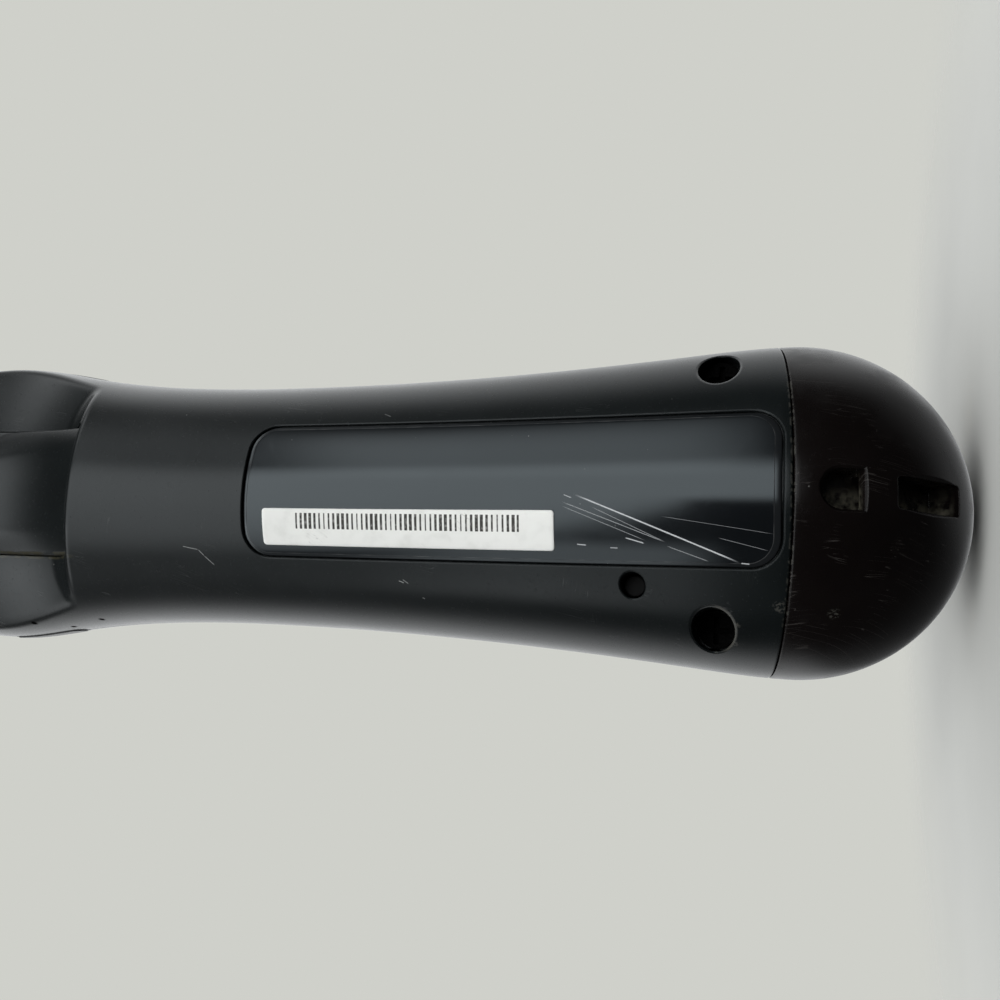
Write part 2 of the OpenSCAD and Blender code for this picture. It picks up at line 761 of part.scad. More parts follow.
module light_guide() {
    color([0.92, 0.92, 0.92]) difference() {
        translate([0, 0, ledge_z - 1]) sphere(r = spigot_d / 2 - 1.6);
        translate([0, 0, ledge_z - 1]) sphere(r = spigot_d / 2 - 3);
        translate([-20, -20, ledge_z - 40 + 0.05]) cube(40);
    }
}
module light_ribbon() {
    color([0.75, 0.55, 0.2]) along_x(-2.8, 2.8) polygon([
        [board_y - 1.55, board_z1 - 3], [board_y - 1.25, board_z1 - 3], [board_y - 1.25, led_z - 0.35],
        [board_y + 1.8, led_z - 0.35], [board_y + 1.8, led_z - 0.05], [board_y - 1.55, led_z - 0.05]
    ]);
}

// power
module battery() {
    color([0.25, 0.3, 0.4]) along_y(battery_y0, battery_y1)
        polygon(rounded(2 * battery_x, battery_z0, battery_z1, 1.2));
}
module battery_frame() {
    color([0.2, 0.2, 0.21]) difference() {
        union() {
            box(-battery_x - 0.8, battery_x + 0.8, frame_y, frame_y + frame_t, screw_z0 - 2, screw_z1 + 2);
            box(-8, 8, -6, frame_y + 0.2, battery_z0 - 1.2, battery_z0 - 0.2);
            box(-8, 4.5, -6, frame_y + 0.2, battery_z1 + 0.2, battery_z1 + 1.2);
            sides() {
                rod_y(screw_x, screw_z0, 2, frame_y + 0.5, board_y - 0.05);
                rod_y(screw_x, screw_z1, 2, frame_y + 0.5, board_y - 0.05);
            }
        }
        sides() {
            rod_y(screw_x, screw_z0, board_screw_d / 2 + 0.1, 0, 20);
            rod_y(screw_x, screw_z1, board_screw_d / 2 + 0.1, 0, 20);
        }
    }
}
module battery_lead() {
    x0 = battery_x - 2.6;
    z0 = battery_z1 + 0.02;
    z1 = motor_z + 5.95;
    color([0.6, 0.1, 0.1]) for (s = [0, 1.3]) along_x(x0 + s, x0 + s + 1.1) polygon([
        [-2, z0], [-1, z0], [-1, z0 + 2.5], [0.4, z0 + 5], [0.4, z1 - 3.5], [board_y - 0.6, z1 - 1],
        [board_y - 0.6, z1], [board_y - 1.6, z1], [board_y - 1.6, z1 - 0.6],
        [-0.6, z1 - 3], [-0.6, z0 + 5.2], [-2, z0 + 2.8]
    ]);
}
module motor_holder() {
    color([0.15, 0.15, 0.16]) difference() {
        box(-9, 0.5, motor_y + 1, board_y - 0.05, motor_z - motor_r + 0.2, motor_z + motor_r - 0.2);
        rod_x(motor_y, motor_z, motor_r + 0.03, -20, 20);
    }
}
module motor() {
    color([0.7, 0.7, 0.72]) difference() {
        rod_x(motor_y, motor_z, motor_r, -10, 1);
        rod_x(motor_y, motor_z, 0.55, -8, 2);
    }
}
module motor_weight() {
    color([0.55, 0.55, 0.58]) union() {
        rod_x(motor_y, motor_z, 0.5, -7.5, 6);
        intersection() {
            rod_x(motor_y, motor_z, motor_r - 0.6, 2, 6.2);
            box(1.5, 7, motor_y - 10, motor_y + 10, motor_z - 10, motor_z + 0.8);
        }
    }
}

// ports
module port_board() {
    color([0.05, 0.25, 0.12]) difference() {
        along_y(port_y, port_f) polygon([
            [8.6, 6.5], [8.6, case_z + 4.4], [12.4, case_z + 5.4], [12.4, port_z1],
            [-12.4, port_z1], [-12.4, case_z + 5.4], [-8.6, case_z + 4.4], [-8.6, 6.5]
        ]);
        sides() rod_y(port_x, port_screw_z, board_screw_d / 2 + 0.1, -10, 10);
    }
}
module charging_socket() {
    color([0.7, 0.7, 0.72]) difference() {
        box(-usb_w / 2, usb_w / 2, port_f, port_f + usb_h, 1.3, 10);
        difference() {
            box(0.4 - usb_w / 2, usb_w / 2 - 0.4, port_f + 0.4, port_f + usb_h - 0.4, 0, 8.5);
            box(-2, 2, port_f + 1.6, port_f + 2.4, 2.4, 9);
        }
    }
}
module extension_socket() {
    color([0.06, 0.06, 0.06]) difference() {
        box(-ext_w / 2, ext_w / 2, port_y - ext_h, port_y, 2.4, 9.4);
        difference() {
            box(0.8 - ext_w / 2, ext_w / 2 - 0.8, port_y - ext_h + 0.7, port_y - 0.7, 0, 8.4);
            box(-4, 4, port_y - ext_h / 2 - 0.45, port_y - ext_h / 2 + 0.45, 3.4, 9);
        }
    }
}
module charging_contacts() {
    head_r = 2.4;
    head_t = 0.7;
    head_top = sqrt(pow(end_r - wall, 2) - head_r * head_r) - 0.1;
    color([0.85, 0.7, 0.35]) sides() contact_axis() {
        translate([0, 0, end_r - wall - 2]) cylinder(r = 1.6, h = wall + 1.8);
        translate([0, 0, head_top - head_t]) cylinder(r = head_r, h = head_t);
    }
}

// fasteners
module case_screws() {
    color([0.5, 0.5, 0.52]) sides() difference() {
        union() {
            rod_y(case_x, case_z, case_bore_d / 2 - 0.25, -7.8, -6);
            rod_y(case_x, case_z, case_screw_d / 2, -6.1, 4);
        }
        box(case_x - 1.5, case_x + 1.5, -8, -7, case_z - 0.3, case_z + 0.3);
        box(case_x - 0.3, case_x + 0.3, -8, -7, case_z - 1.5, case_z + 1.5);
    }
}
module board_screws() {
    color([0.6, 0.6, 0.62]) sides() {
        for (z = [screw_z0, screw_z1]) {
            rod_y(screw_x, z, 1.6, frame_y - 0.9, frame_y);
            rod_y(screw_x, z, board_screw_d / 2, frame_y - 0.1, 9.5);
        }
        rod_y(port_x, port_screw_z, 1.6, port_y - 0.9, port_y);
        rod_y(port_x, port_screw_z, board_screw_d / 2, port_y - 0.1, 4);
    }
}
module light_screws() {
    color([0.6, 0.6, 0.62]) sides() translate([light_screw_x, 0, 0]) {
        translate([0, 0, led_z - 0.9]) cylinder(r = 1.5, h = 0.9);
        translate([0, 0, led_z - 0.1]) cylinder(d = board_screw_d, h = 2.9);
    }
}

front_shell();
rear_shell();
end_cap();
neck_collar();
ball();
label_plate();
sticker();
trigger();
trigger_pin();
trigger_spring();
trigger_sensor();
main_button();
face_button_a();
face_button_b();
face_button_c();
face_button_d();
home_button();
select_button();
start_button();
status_light();
reset_button();
reset_switch();
main_board();
board_chips();
keypad_mat();
side_switches();
light_board();
colour_light();
light_guide();
light_ribbon();
battery();
battery_frame();
battery_lead();
motor_holder();
motor();
motor_weight();
port_board();
charging_socket();
extension_socket();
charging_contacts();
case_screws();
board_screws();
light_screws();
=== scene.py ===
import json
import math

import bmesh
import bpy
import numpy as np
from mathutils import Matrix, Vector

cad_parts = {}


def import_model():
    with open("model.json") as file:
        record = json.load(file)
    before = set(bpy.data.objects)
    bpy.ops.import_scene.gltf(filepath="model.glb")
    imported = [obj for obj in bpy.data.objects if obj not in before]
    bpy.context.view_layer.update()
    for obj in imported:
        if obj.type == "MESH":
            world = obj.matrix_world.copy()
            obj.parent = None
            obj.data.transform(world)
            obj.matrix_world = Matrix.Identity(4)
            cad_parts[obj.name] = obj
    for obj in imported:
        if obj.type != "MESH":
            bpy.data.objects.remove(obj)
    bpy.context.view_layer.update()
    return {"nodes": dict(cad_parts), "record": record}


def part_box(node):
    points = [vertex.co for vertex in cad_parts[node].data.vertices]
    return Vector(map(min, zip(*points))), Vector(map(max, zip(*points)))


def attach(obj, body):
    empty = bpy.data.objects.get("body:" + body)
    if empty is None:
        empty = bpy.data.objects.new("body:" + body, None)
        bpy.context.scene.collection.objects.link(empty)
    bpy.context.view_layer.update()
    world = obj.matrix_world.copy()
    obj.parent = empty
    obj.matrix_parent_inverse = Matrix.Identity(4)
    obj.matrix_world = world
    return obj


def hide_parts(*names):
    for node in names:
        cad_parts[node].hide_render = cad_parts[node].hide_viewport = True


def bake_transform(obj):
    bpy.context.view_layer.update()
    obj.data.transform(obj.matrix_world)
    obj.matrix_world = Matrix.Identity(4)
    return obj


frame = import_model()

# Sizes in millimetres, in the frame of the solids: Z is the wand's axis, the trigger faces -Y
MM = 0.001
WALL = 2.0
SEAM = 0.1
END_R = 19.25
WAIST_R, WAIST_Z = 16.2, 83.0
SHOULDER_R, SHOULDER_Z = 20.15, 130.0
NECK_R, NECK_Z = 16.6, 149.0
LIP_R, LIP_Z = 15.0, 159.8
BALL_R, BALL_WALL = 22.5, 1.5
SPIGOT_R, SPIGOT_WALL, SPIGOT_PLAY, SPIGOT_FOOT = 11.5, 1.4, 0.2, 2.05
NECK_EASE, BRIM, BALL_FIT, BALL_RING = 0.15, 0.45, 0.15, 0.05
SEAT_R = LIP_R - 1.0
BALL_Z = LIP_Z + math.sqrt(BALL_R**2 - SEAT_R**2)
SEAM_Z = END_R + 2.25
CAP_SLOPE = math.tan(math.radians(8))

# Finger scoop and trigger
SCOOP_Y, SCOOP_ROUND, SCOOP_SWEEP = 11.5, 38.0, 60.0
SCOOP_Z = SHOULDER_Z - 8.0
AXIS_Y = SCOOP_ROUND - SCOOP_Y
RIDGE_Z, RIDGE_K, RIDGE_LEAN = SHOULDER_Z - 21.6, 0.62, 0.5
FLANK, HOLLOW_SOFT, HOLLOW_FALL, EDGE_SOFT, EDGE_FALL = 0.9, 3.0, 2.0, 1.3, 0.6
PULL_W, PULL_Y, PULL_SWEEP, PULL_WALL = 16.6, 13.2, 48.0, 3.2
PULL_Z, PULL_Z0, PULL_Z1 = RIDGE_Z + 15.1, RIDGE_Z + 1.0, NECK_Z - 5.4
PULL_GAP, PULL_LOW, PULL_CORNER, PULL_SUNK = 0.45, 0.6, 1.5, 0.3
PULL_FLAT, PULL_ROLL, PULL_EASE = 5.0, 0.8, 0.33
CHEEK_W, CHEEK_LOW, CHEEK_BACK, CHEEK_CORNER, BOSS_D, BOSS_IN = 7.6, 12.0, 2.2, 2.4, 4.6, 4.4
CHEEK_TOP, CHEEK_IN, CHEEK_OUT, BOSS_OUT = 1.2, 2.1, 0.2, 0.3
PLUNGER_Z, PLUNGER_W, PLUNGER_HALF, PLUNGER_IN, PLUNGER_OUT = RIDGE_Z + 9.0, 4.0, 1.4, -3.2, -11.8
PIN_Y, PIN_Z, PIN_R, PIN_PLAY = -8.5, NECK_Z - 9.0, 1.0, 0.05
SPRING_HALF, SPRING_WIRE, SPRING_TURN = 2.0, 0.3, 1620

# Buttons
MAIN_W, MAIN_H, MAIN_Z = 15.6, 19.5, SHOULDER_Z - 2.0
FACE_D, FACE_X, FACE_DZ = 7.0, 12.3, 7.2
HOME_D, HOME_Z = 8.4, SHOULDER_Z - 27.0
SIDE_L, SIDE_W, SIDE_Z = 11.6, 2.8, SHOULDER_Z - 7.0
LIGHT_D, LIGHT_Z = 1.9, WAIST_Z + 11.0
BUTTON_GAP, PROUD, SIDE_PROUD, HOME_SUNK = 0.2, 0.8, 0.15, 0.25
FLANGE, FLANGE_LOW, FLANGE_TOP = 0.9, 1.3, 0.3
MAIN_EDGE, MAIN_CROWN, FACE_EDGE, HOME_EDGE, SIDE_EDGE = 0.6, -0.2, 0.45, 0.3, 0.25

# Label, screws, strap holes and ports
LABEL_W, LABEL_Z0, LABEL_Z1, LABEL_CORNER, LABEL_T = 16.0, END_R + 0.6, WAIST_Z - 0.35, 3.0, 0.5
LABEL_SUNK, LABEL_FIT, LABEL_UNDER, LABEL_EASE = 0.12, 0.15, 0.08, 0.04
STICKER_W, STICKER_L = 4.3, 36.6
STICKER_X, STICKER_Z0 = -2.4 - STICKER_W / 2, WAIST_Z - 3.0 - STICKER_L
SCREW_X, SCREW_Z, SCREW_BORE, SCREW_SEAT, SHANK_D = 14.2, END_R + 7.55, 4.5, 6.0, 2.5
POST_D, POST_FOOT, POST_Z0, POST_Z1, POST_IN = 7.4, 4.0, 20.0, 40.0, 0.5
RESET_X, RESET_Z, RESET_D = -10.0, END_R + 15.75, 2.7
STRAP_W, STRAP_DEEP, BAR_T, CHANNEL_HALF = 4.1, 4.2, 2.0, 4.6
STRAP_EASE, STRAP_LIP = 0.45, 0.7
HOUSING_W, HOUSING_HALF, HOUSING_DEEP, HOUSING_TOP = 7.1, 9.2, 7.0, 3.0
SLOT_W, SLOT_A0, SLOT_A1 = 3.3, 30.0, 57.8
ROUND_A0, ROUND_A1 = 68.2, 80.6
PORT_Y, PORT_F, PORT_FIT, PORT_CORNER, PORT_DEEP, PORT_EASE = -1.5, -0.3, 0.2, 0.5, 12.0, 0.3
EXT_W, EXT_H, USB_W, USB_H = 12.4, 4.1, 7.7, 3.9
CONTACT_TILT, CONTACT_TURN, CONTACT_D = 142.0, 15.0, 3.3
RIM_SLOT, RIM_SCREW, RIM_RESET, RIM_HOLE = 0.15, 0.25, 0.12, 0.2
FRONT_IN, SIDE_IN, SHANK_OUT, BACK_IN, RESET_IN, FAR = 6.0, 9.0, 8.0, 2.0, 5.0, 30.0


# Outline of the grip
def stations():
    fall = END_R - WAIST_R
    low = WAIST_Z - END_R
    rise = SHOULDER_R - WAIST_R
    high = SHOULDER_Z - WAIST_Z
    return [
        (END_R, END_R, 0.0),
        (END_R + 0.2 * low, END_R - 0.263 * fall, -1.81 * fall / low),
        (WAIST_Z, WAIST_R, 0.0),
        (WAIST_Z + 0.766 * high, WAIST_R + 0.659 * rise, 2.21 * rise / high),
        (SHOULDER_Z, SHOULDER_R, 0.0),
        (NECK_Z, NECK_R, -0.3),
        (LIP_Z, LIP_R, -0.05),
    ]


STATIONS = stations()


def radius(z):
    """Radius of the round body at a height: a dome below, then curves from station to station."""
    z = np.asarray(z, float)
    r = np.sqrt(np.clip(END_R**2 - (END_R - z) ** 2, 0, None))
    for (z0, r0, m0), (z1, r1, m1) in zip(STATIONS, STATIONS[1:]):
        span = z1 - z0
        t = (z - z0) / span
        rise = (2 * t**3 - 3 * t**2 + 1) * r0 + (3 * t**2 - 2 * t**3) * r1
        lean = (t**3 - 2 * t**2 + t) * m0 + (t**3 - t**2) * m1
        r = np.where((z > z0) & (z <= z1), rise + span * lean, r)
    return r


def soft_min(a, b, k):
    h = np.clip(k - np.abs(a - b), 0, None) / k
    return np.minimum(a, b) - h * h * k / 4


def soft_max(a, b, k):
    return -soft_min(-a, -b, k)


def reach(rho, theta):
    """How far out a ray from the wand's axis meets a circle about the scoop's own axis."""
    side = AXIS_Y * np.sin(theta)
    return np.sqrt(np.clip(rho**2 - side**2, 1, None)) - AXIS_Y * np.cos(theta)


RIDGE_RHO = AXIS_Y + float(radius(RIDGE_Z))


def back_radius(z, theta):
    """The back skin: the round body with the finger scoop taken out, its edges softened."""
    floor = SCOOP_ROUND + SCOOP_SWEEP
    floor = floor - np.sqrt(np.clip(SCOOP_SWEEP**2 - (z - SCOOP_Z) ** 2, 1, None))
    flank = np.clip(np.abs(theta) / FLANK, 0, 1)
    rho = np.sqrt(radius(RIDGE_Z) ** 2 + AXIS_Y**2 + 2 * radius(RIDGE_Z) * AXIS_Y * np.cos(theta))
    crest = RIDGE_Z + RIDGE_K * (RIDGE_RHO - rho)
    wall = radius(z) - (z - crest) / (RIDGE_K + RIDGE_LEAN * flank**2)
    hollow = soft_max(reach(floor, theta), wall, HOLLOW_SOFT - HOLLOW_FALL * flank)
    return soft_min(radius(z), hollow, EDGE_SOFT - EDGE_FALL * flank)


# Meshes
SHARP = math.radians(32)
WELD = 1e-3 * MM


def new_object(name, verts, faces):
    """A mesh object from points in millimetres, outward facing, smooth but for edges over an angle."""
    mesh = bpy.data.meshes.new(name)
    mesh.from_pydata((np.asarray(verts) * MM).tolist(), [], faces)
    bm = bmesh.new()
    bm.from_mesh(mesh)
    bmesh.ops.remove_doubles(bm, verts=bm.verts, dist=WELD)
    bmesh.ops.recalc_face_normals(bm, faces=bm.faces)
    bm.to_mesh(mesh)
    bm.free()
    return smooth(placed(name, mesh))


def placed(name, data):
    obj = bpy.data.objects.new(name, data)
    bpy.context.scene.collection.objects.link(obj)
    return obj


def smooth(obj):
    mesh = obj.data
    mesh.polygons.foreach_set("use_smooth", [True] * len(mesh.polygons))
    mesh.set_sharp_from_angle(angle=SHARP)
    return obj


def combine(obj, other, operation="DIFFERENCE"):
    """Cuts, joins or keeps what two closed meshes share, and drops the second."""
    tool = obj.modifiers.new("combine", "BOOLEAN")
    tool.object = other
    tool.operation = operation
    tool.solver = "MANIFOLD"
    shape = obj.evaluated_get(bpy.context.evaluated_depsgraph_get())
    mesh = bpy.data.meshes.new_from_object(shape)
    obj.modifiers.clear()
    old = obj.data
    obj.data = mesh
    bpy.data.meshes.remove(old)
    bpy.data.objects.remove(other)
    return smooth(obj)


def strip(first, second, closed=True):
    """Faces between two rows of point numbers."""
    n = len(first)
    steps = range(n if closed else n - 1)
    return [(first[i], first[(i + 1) % n], second[(i + 1) % n], second[i]) for i in steps]


def numbered(rows, n):
    """Point numbers of so many rows of n points."""
    return np.arange(rows * n).reshape(rows, n).tolist()


def sheet(rows):
    """Faces between each row of point numbers and the next."""
    return [face for a, b in zip(rows, rows[1:]) for face in strip(a, b)]


def zipped(row):
    """Faces that close a row which is its own mirror image about its first and middle point."""
    n = len(row)
    quads = [(row[i], row[i + 1], row[n - i - 1], row[(n - i) % n]) for i in range(n // 2)]
    return [tuple(dict.fromkeys(q)) for q in quads]


def pad(name, outline, place, rings):
    """A closed plate from rings of one outline, each with its own inset and height."""
    rows = [np.stack(place(*outline(inset), off), axis=1) for inset, off in rings]
    numbers = numbered(len(rows), len(rows[0]))
    faces = zipped(numbers[0]) + zipped(numbers[-1]) + sheet(numbers)
    return new_object(name, np.concatenate(rows), faces)


def fillet(top, size, start=0.0, steps=6):
    """Rings of a rounded edge that ends at a height."""
    turns = np.linspace(0, math.pi / 2, steps + 1)
    return [(start + size * (1 - math.cos(a)), top - size * (1 - math.sin(a))) for a in turns]


def inward(start, stop, count, top, sag=0.0):
    """Rings across the top of a plate, with a hollow or a crown of some depth in the middle."""
    shares = np.linspace(0, 1, count + 1)[1:]
    return [(start + (stop - start) * s, top + sag * (1 - (1 - s) ** 2)) for s in shares]


def mirrored(u, v):
    """A whole outline from its half on one side, the lowest middle point first."""
    return np.concatenate([u, -u[-2:0:-1]]), np.concatenate([v, v[-2:0:-1]])


def rounded(w, z0, z1, corner, sides=36, ends=8, bend=8):
    """Outline of a plate with round corners, from its lowest middle point, up one side and back."""

    def outline(inset):
        half = w / 2 - inset
        low, high = z0 + inset, z1 - inset
        c = max(min(corner - inset, half), 0.02)
        turn = np.linspace(0, math.pi / 2, bend + 1)
        flat = np.linspace(0, half - c, ends, endpoint=False)
        rise = np.linspace(low + c, high - c, sides + 1)[1:-1]
        u = np.concatenate([
            flat, half - c + c * np.sin(turn), np.full(len(rise), half),
            half - c + c * np.cos(turn), flat[::-1],
        ])
        v = np.concatenate([
            np.full(len(flat), low), low + c - c * np.cos(turn), rise,
            high - c + c * np.sin(turn), np.full(len(flat), high),
        ])
        return mirrored(u, v)

    return outline


def oval(w, h, z, points=96):
    def outline(inset):
        a = np.arange(points) / points * 2 * math.pi - math.pi / 2
        return (w / 2 - inset) * np.cos(a), z + (h / 2 - inset) * np.sin(a)

    return outline


def arch(w, low, middle, bend=24, ends=6):
    """A straight-sided hole, square at its low end and round at the other, about a middle."""

    def outline(inset):
        r = w / 2 - inset
        turn = np.linspace(0, math.pi / 2, bend + 1)
        flat = np.linspace(0, r, ends, endpoint=False)
        u = np.concatenate([flat, [r], r * np.cos(turn)])
        v = np.concatenate([np.full(ends + 1, low + inset), middle + r * np.sin(turn)])
        return mirrored(u, v)

    return outline


def through(axis, shift=0.0):
    """Places an outline square across an axis, with its height along it."""

    def place(u, v, off):
        spots = [u + shift, v]
        spots.insert("XYZ".index(axis), np.full(len(u), float(off)))
        return spots

    return place


def on_skin(facing, x=0.0, least=8.5):
    """Places an outline on the round body at the back (-1) or front (+1), a height above its skin."""

    def place(u, v, off):
        y = np.sqrt(np.maximum((radius(v) + off) ** 2 - (u + x) ** 2, least**2))
        return u + x, facing * y, v

    return place


def on_side(facing):
    return lambda u, v, off: (facing * np.sqrt((radius(v) + off) ** 2 - u**2), u, v)


def on_dome(angle):
    """Places an outline square to the dome, at an angle from its pole towards the back."""
    a = math.radians(angle)
    out = np.array([0.0, -math.sin(a), -math.cos(a)])
    up = np.array([0.0, -math.cos(a), math.sin(a)])

    def place(u, v, off):
        y = out[1] * (END_R + off) + up[1] * v
        z = END_R + out[2] * (END_R + off) + up[2] * v
        return u, y, z

    return place


def under_dome(u, v, off):
    """Places an outline on the underside of the dome, a height outside its skin."""
    return u, v, END_R - np.sqrt((END_R + off) ** 2 - u**2 - v**2)


def turned(name, profile, turns=192):
    """A closed ring turned about the axis from a loop of (radius, height) points."""
    profile = np.asarray(profile, float)
    a = np.arange(turns) / turns * 2 * math.pi
    rows = [
        np.stack([r * np.cos(a), r * np.sin(a), np.full(turns, z)], axis=1) for r, z in profile
    ]
    numbers = numbered(len(rows), turns)
    return new_object(name, np.concatenate(rows), sheet(numbers + numbers[:1]))


def arc(centre, r, a0, a1, steps):
    """Points of an arc in the plane of radius and height, angles from the radius direction."""
    turn = np.radians(np.linspace(a0, a1, steps + 1))
    return [(centre[0] + r * math.cos(a), centre[1] + r * math.sin(a)) for a in turn]


# Shells
BASE_Z = 26.0
RIM = 0.2
SEAM_LAP, LAP_FROM = 0.3, 1.3


def rim(away):
    """How far a small rounded rim falls back, at a distance from its edge."""
    away = np.clip(away, 0, RIM)
    return RIM - np.sqrt(RIM**2 - (RIM - away) ** 2)


RIM_STEPS = np.array([0.0, 0.015, 0.05, 0.1, 0.15, 0.2])


def flare(size, high=2.0):
    """Rings of a cutter that rounds the edge of a hole, from inside the wall to above the skin."""
    return [(-inset, off) for inset, off in fillet(0.0, size, steps=4)] + [(-size, high)]


def half_grip(name, facing, skin, heights):
    """Half of the grip, walled, from the tilted cap joint to the neck, its long edges slanted to lap."""
    theta = np.radians(np.linspace(-90, 90, 181))
    low = SEAM_Z + SEAM / 2 + facing * np.cos(theta) * CAP_SLOPE * END_R
    first = low + RIM_STEPS[:, None]
    share = np.linspace(0, 1, 9)[1:-1, None]
    then = first[-1] + (BASE_Z - first[-1]) * share
    z = np.concatenate([first, then, heights[:, None] + 0 * theta])
    outer = skin(z, theta)
    inner = np.minimum(radius(z), outer) - WALL
    outer = outer - rim(z - low)
    rows, cols = z.shape
    beside = np.clip((np.abs(theta) - LAP_FROM) / (math.pi / 2 - LAP_FROM), 0, 1)

    def points(r, lap):
        x = r * np.sin(theta)
        y = facing * (r * np.cos(theta) + SEAM / 2) + lap * beside
        return np.stack([x, y, z], axis=2).reshape(-1, 3)

    numbers = numbered(2 * rows, cols)
    out, inn = numbers[:rows], numbers[rows:]
    pairs = []
    for k in range(rows - 1):
        pairs += [(out[k], out[k + 1]), (inn[k], inn[k + 1])]
    for edge in (0, -1):
        sides = [[row[edge] for row in grid] for grid in (out, inn)]
        pairs += [(out[edge], inn[edge]), sides]
    faces = [face for a, b in pairs for face in strip(a, b, closed=False)]
    return new_object(name, np.concatenate([points(outer, 0.0), points(inner, SEAM_LAP)]), faces)


def drill(shell, outline, place, start, stop):
    """Cuts a straight hole from one height to another."""
    combine(shell, pad("cut", outline, place, [(0, start), (0, stop)]))


def ease(shell, outline, place, size, start=-1.0):
    """Rounds the rim of a hole, from a depth in the wall to above the skin."""
    combine(shell, pad("cut", outline, place, [(0, start)] + flare(size)))


def add(piece, outline, place, start, stop):
    """Joins on a straight block between two heights."""
    combine(piece, pad("block", outline, place, [(0, start), (0, stop)]), "UNION")


def slot_outline(grow):
    half = SIDE_L / 2 + grow
    return rounded(SIDE_W + 2 * grow, SIDE_Z - half, SIDE_Z + half, SIDE_W / 2 + grow, ends=2)


def cut_side_slots(shell):
    slot = slot_outline(BUTTON_GAP)
    for facing in (-1, 1):
        drill(shell, slot, through("X"), facing * SIDE_IN, facing * FAR)
        ease(shell, slot, on_side(facing), RIM_SLOT)


def label_recess():
    """The tool that cuts the label's pocket, with a rounded lip."""
    lip = 0.1
    half = LABEL_W / 2 - 0.1
    outline = rounded(
        LABEL_W + 2 * LABEL_FIT, LABEL_Z0 - LABEL_FIT, LABEL_Z1 + LABEL_FIT, LABEL_CORNER + LABEL_FIT
    )
    top = [(half - (half + lip) * k / 8, 2.0) for k in range(8)]
    deep = -LABEL_T - LABEL_SUNK - LABEL_UNDER
    below = [(0, deep)] + inward(0, half, 8, deep)
    return pad("cut", outline, on_skin(-1), top + flare(lip)[::-1] + below)


def screw_post(x):
    """A post under a case screw, kept inside the round body."""
    r0, r1 = float(radius(POST_Z0)) - POST_IN, float(radius(POST_Z1)) - POST_IN
    core = turned("core", [(0, POST_Z0), (r0, POST_Z0), (r1, POST_Z1), (0, POST_Z1)])
    post = pad("post", oval(POST_D, POST_D, SCREW_Z), through("Y", x), [(0, -20), (0, -POST_FOOT)])
    return combine(post, core, "INTERSECT")


def rear_shell():
    heights = np.concatenate([
        np.arange(BASE_Z, 104, 1.5), np.arange(104, 118, 0.3), np.arange(118, NECK_Z, 0.7), [NECK_Z],
    ])
    shell = half_grip("rear_shell_skin", -1, back_radius, heights)
    bore = oval(SCREW_BORE, SCREW_BORE, SCREW_Z)
    shank = oval(SHANK_D, SHANK_D, SCREW_Z)
    for x in (-SCREW_X, SCREW_X):
        combine(shell, screw_post(x), "UNION")
        drill(shell, bore, through("Y", x), -FAR, -SCREW_SEAT)
        ease(shell, bore, on_skin(-1, x, 2.0), RIM_SCREW, -1.5)
        drill(shell, shank, through("Y", x), -SHANK_OUT, -BACK_IN)
    reset = oval(RESET_D, RESET_D, RESET_Z)
    drill(shell, reset, through("Y", RESET_X), -FAR, -RESET_IN)
    ease(shell, reset, on_skin(-1, RESET_X), RIM_RESET)
    low = PULL_Z0 - PULL_GAP
    for foot, outer in ((low, -40), (low - PULL_LOW, 0.6 - PULL_Y)):
        gap = rounded(PULL_W + 2 * PULL_GAP, foot, PULL_Z1 + 0.5, 0.4)
        drill(shell, gap, through("Y"), outer, -BACK_IN)
    combine(shell, label_recess())
    cut_side_slots(shell)
    return shell


def front_shell():
    heights = np.concatenate([np.arange(BASE_Z, NECK_Z, 1.2), [NECK_Z]])
    shell = half_grip("front_shell_skin", 1, lambda z, theta: radius(z) + 0 * theta, heights)
    gap = 2 * BUTTON_GAP
    holes = [
        (oval(MAIN_W + gap, MAIN_H + gap, MAIN_Z), 0),
        (oval(HOME_D + gap, HOME_D + gap, HOME_Z), 0),
        (oval(LIGHT_D, LIGHT_D, LIGHT_Z), 0),
    ]
    for x in (-FACE_X, FACE_X):
        for dz in (-FACE_DZ, FACE_DZ):
            holes.append((oval(FACE_D + gap, FACE_D + gap, MAIN_Z + dz), x))
    for outline, x in holes:
        drill(shell, outline, through("Y", x), FRONT_IN, FAR)
        ease(shell, outline, on_skin(1, x, 6.0), RIM_HOLE)
    cut_side_slots(shell)
    return shell


def dome_grid():
    """Rows of arc length up the domed end, closer together at the rim, and how far each row goes."""
    theta = np.arange(240) / 240 * 2 * math.pi
    high = SEAM_Z - SEAM / 2 + np.sin(theta) * CAP_SLOPE * END_R
    length = END_R * math.pi / 2 + high - END_R
    share = np.linspace(0, 1, 72)[1:-1, None]
    rows = (length - RIM) * share
    return theta, np.concatenate([rows, length - RIM_STEPS[::-1, None]]), length


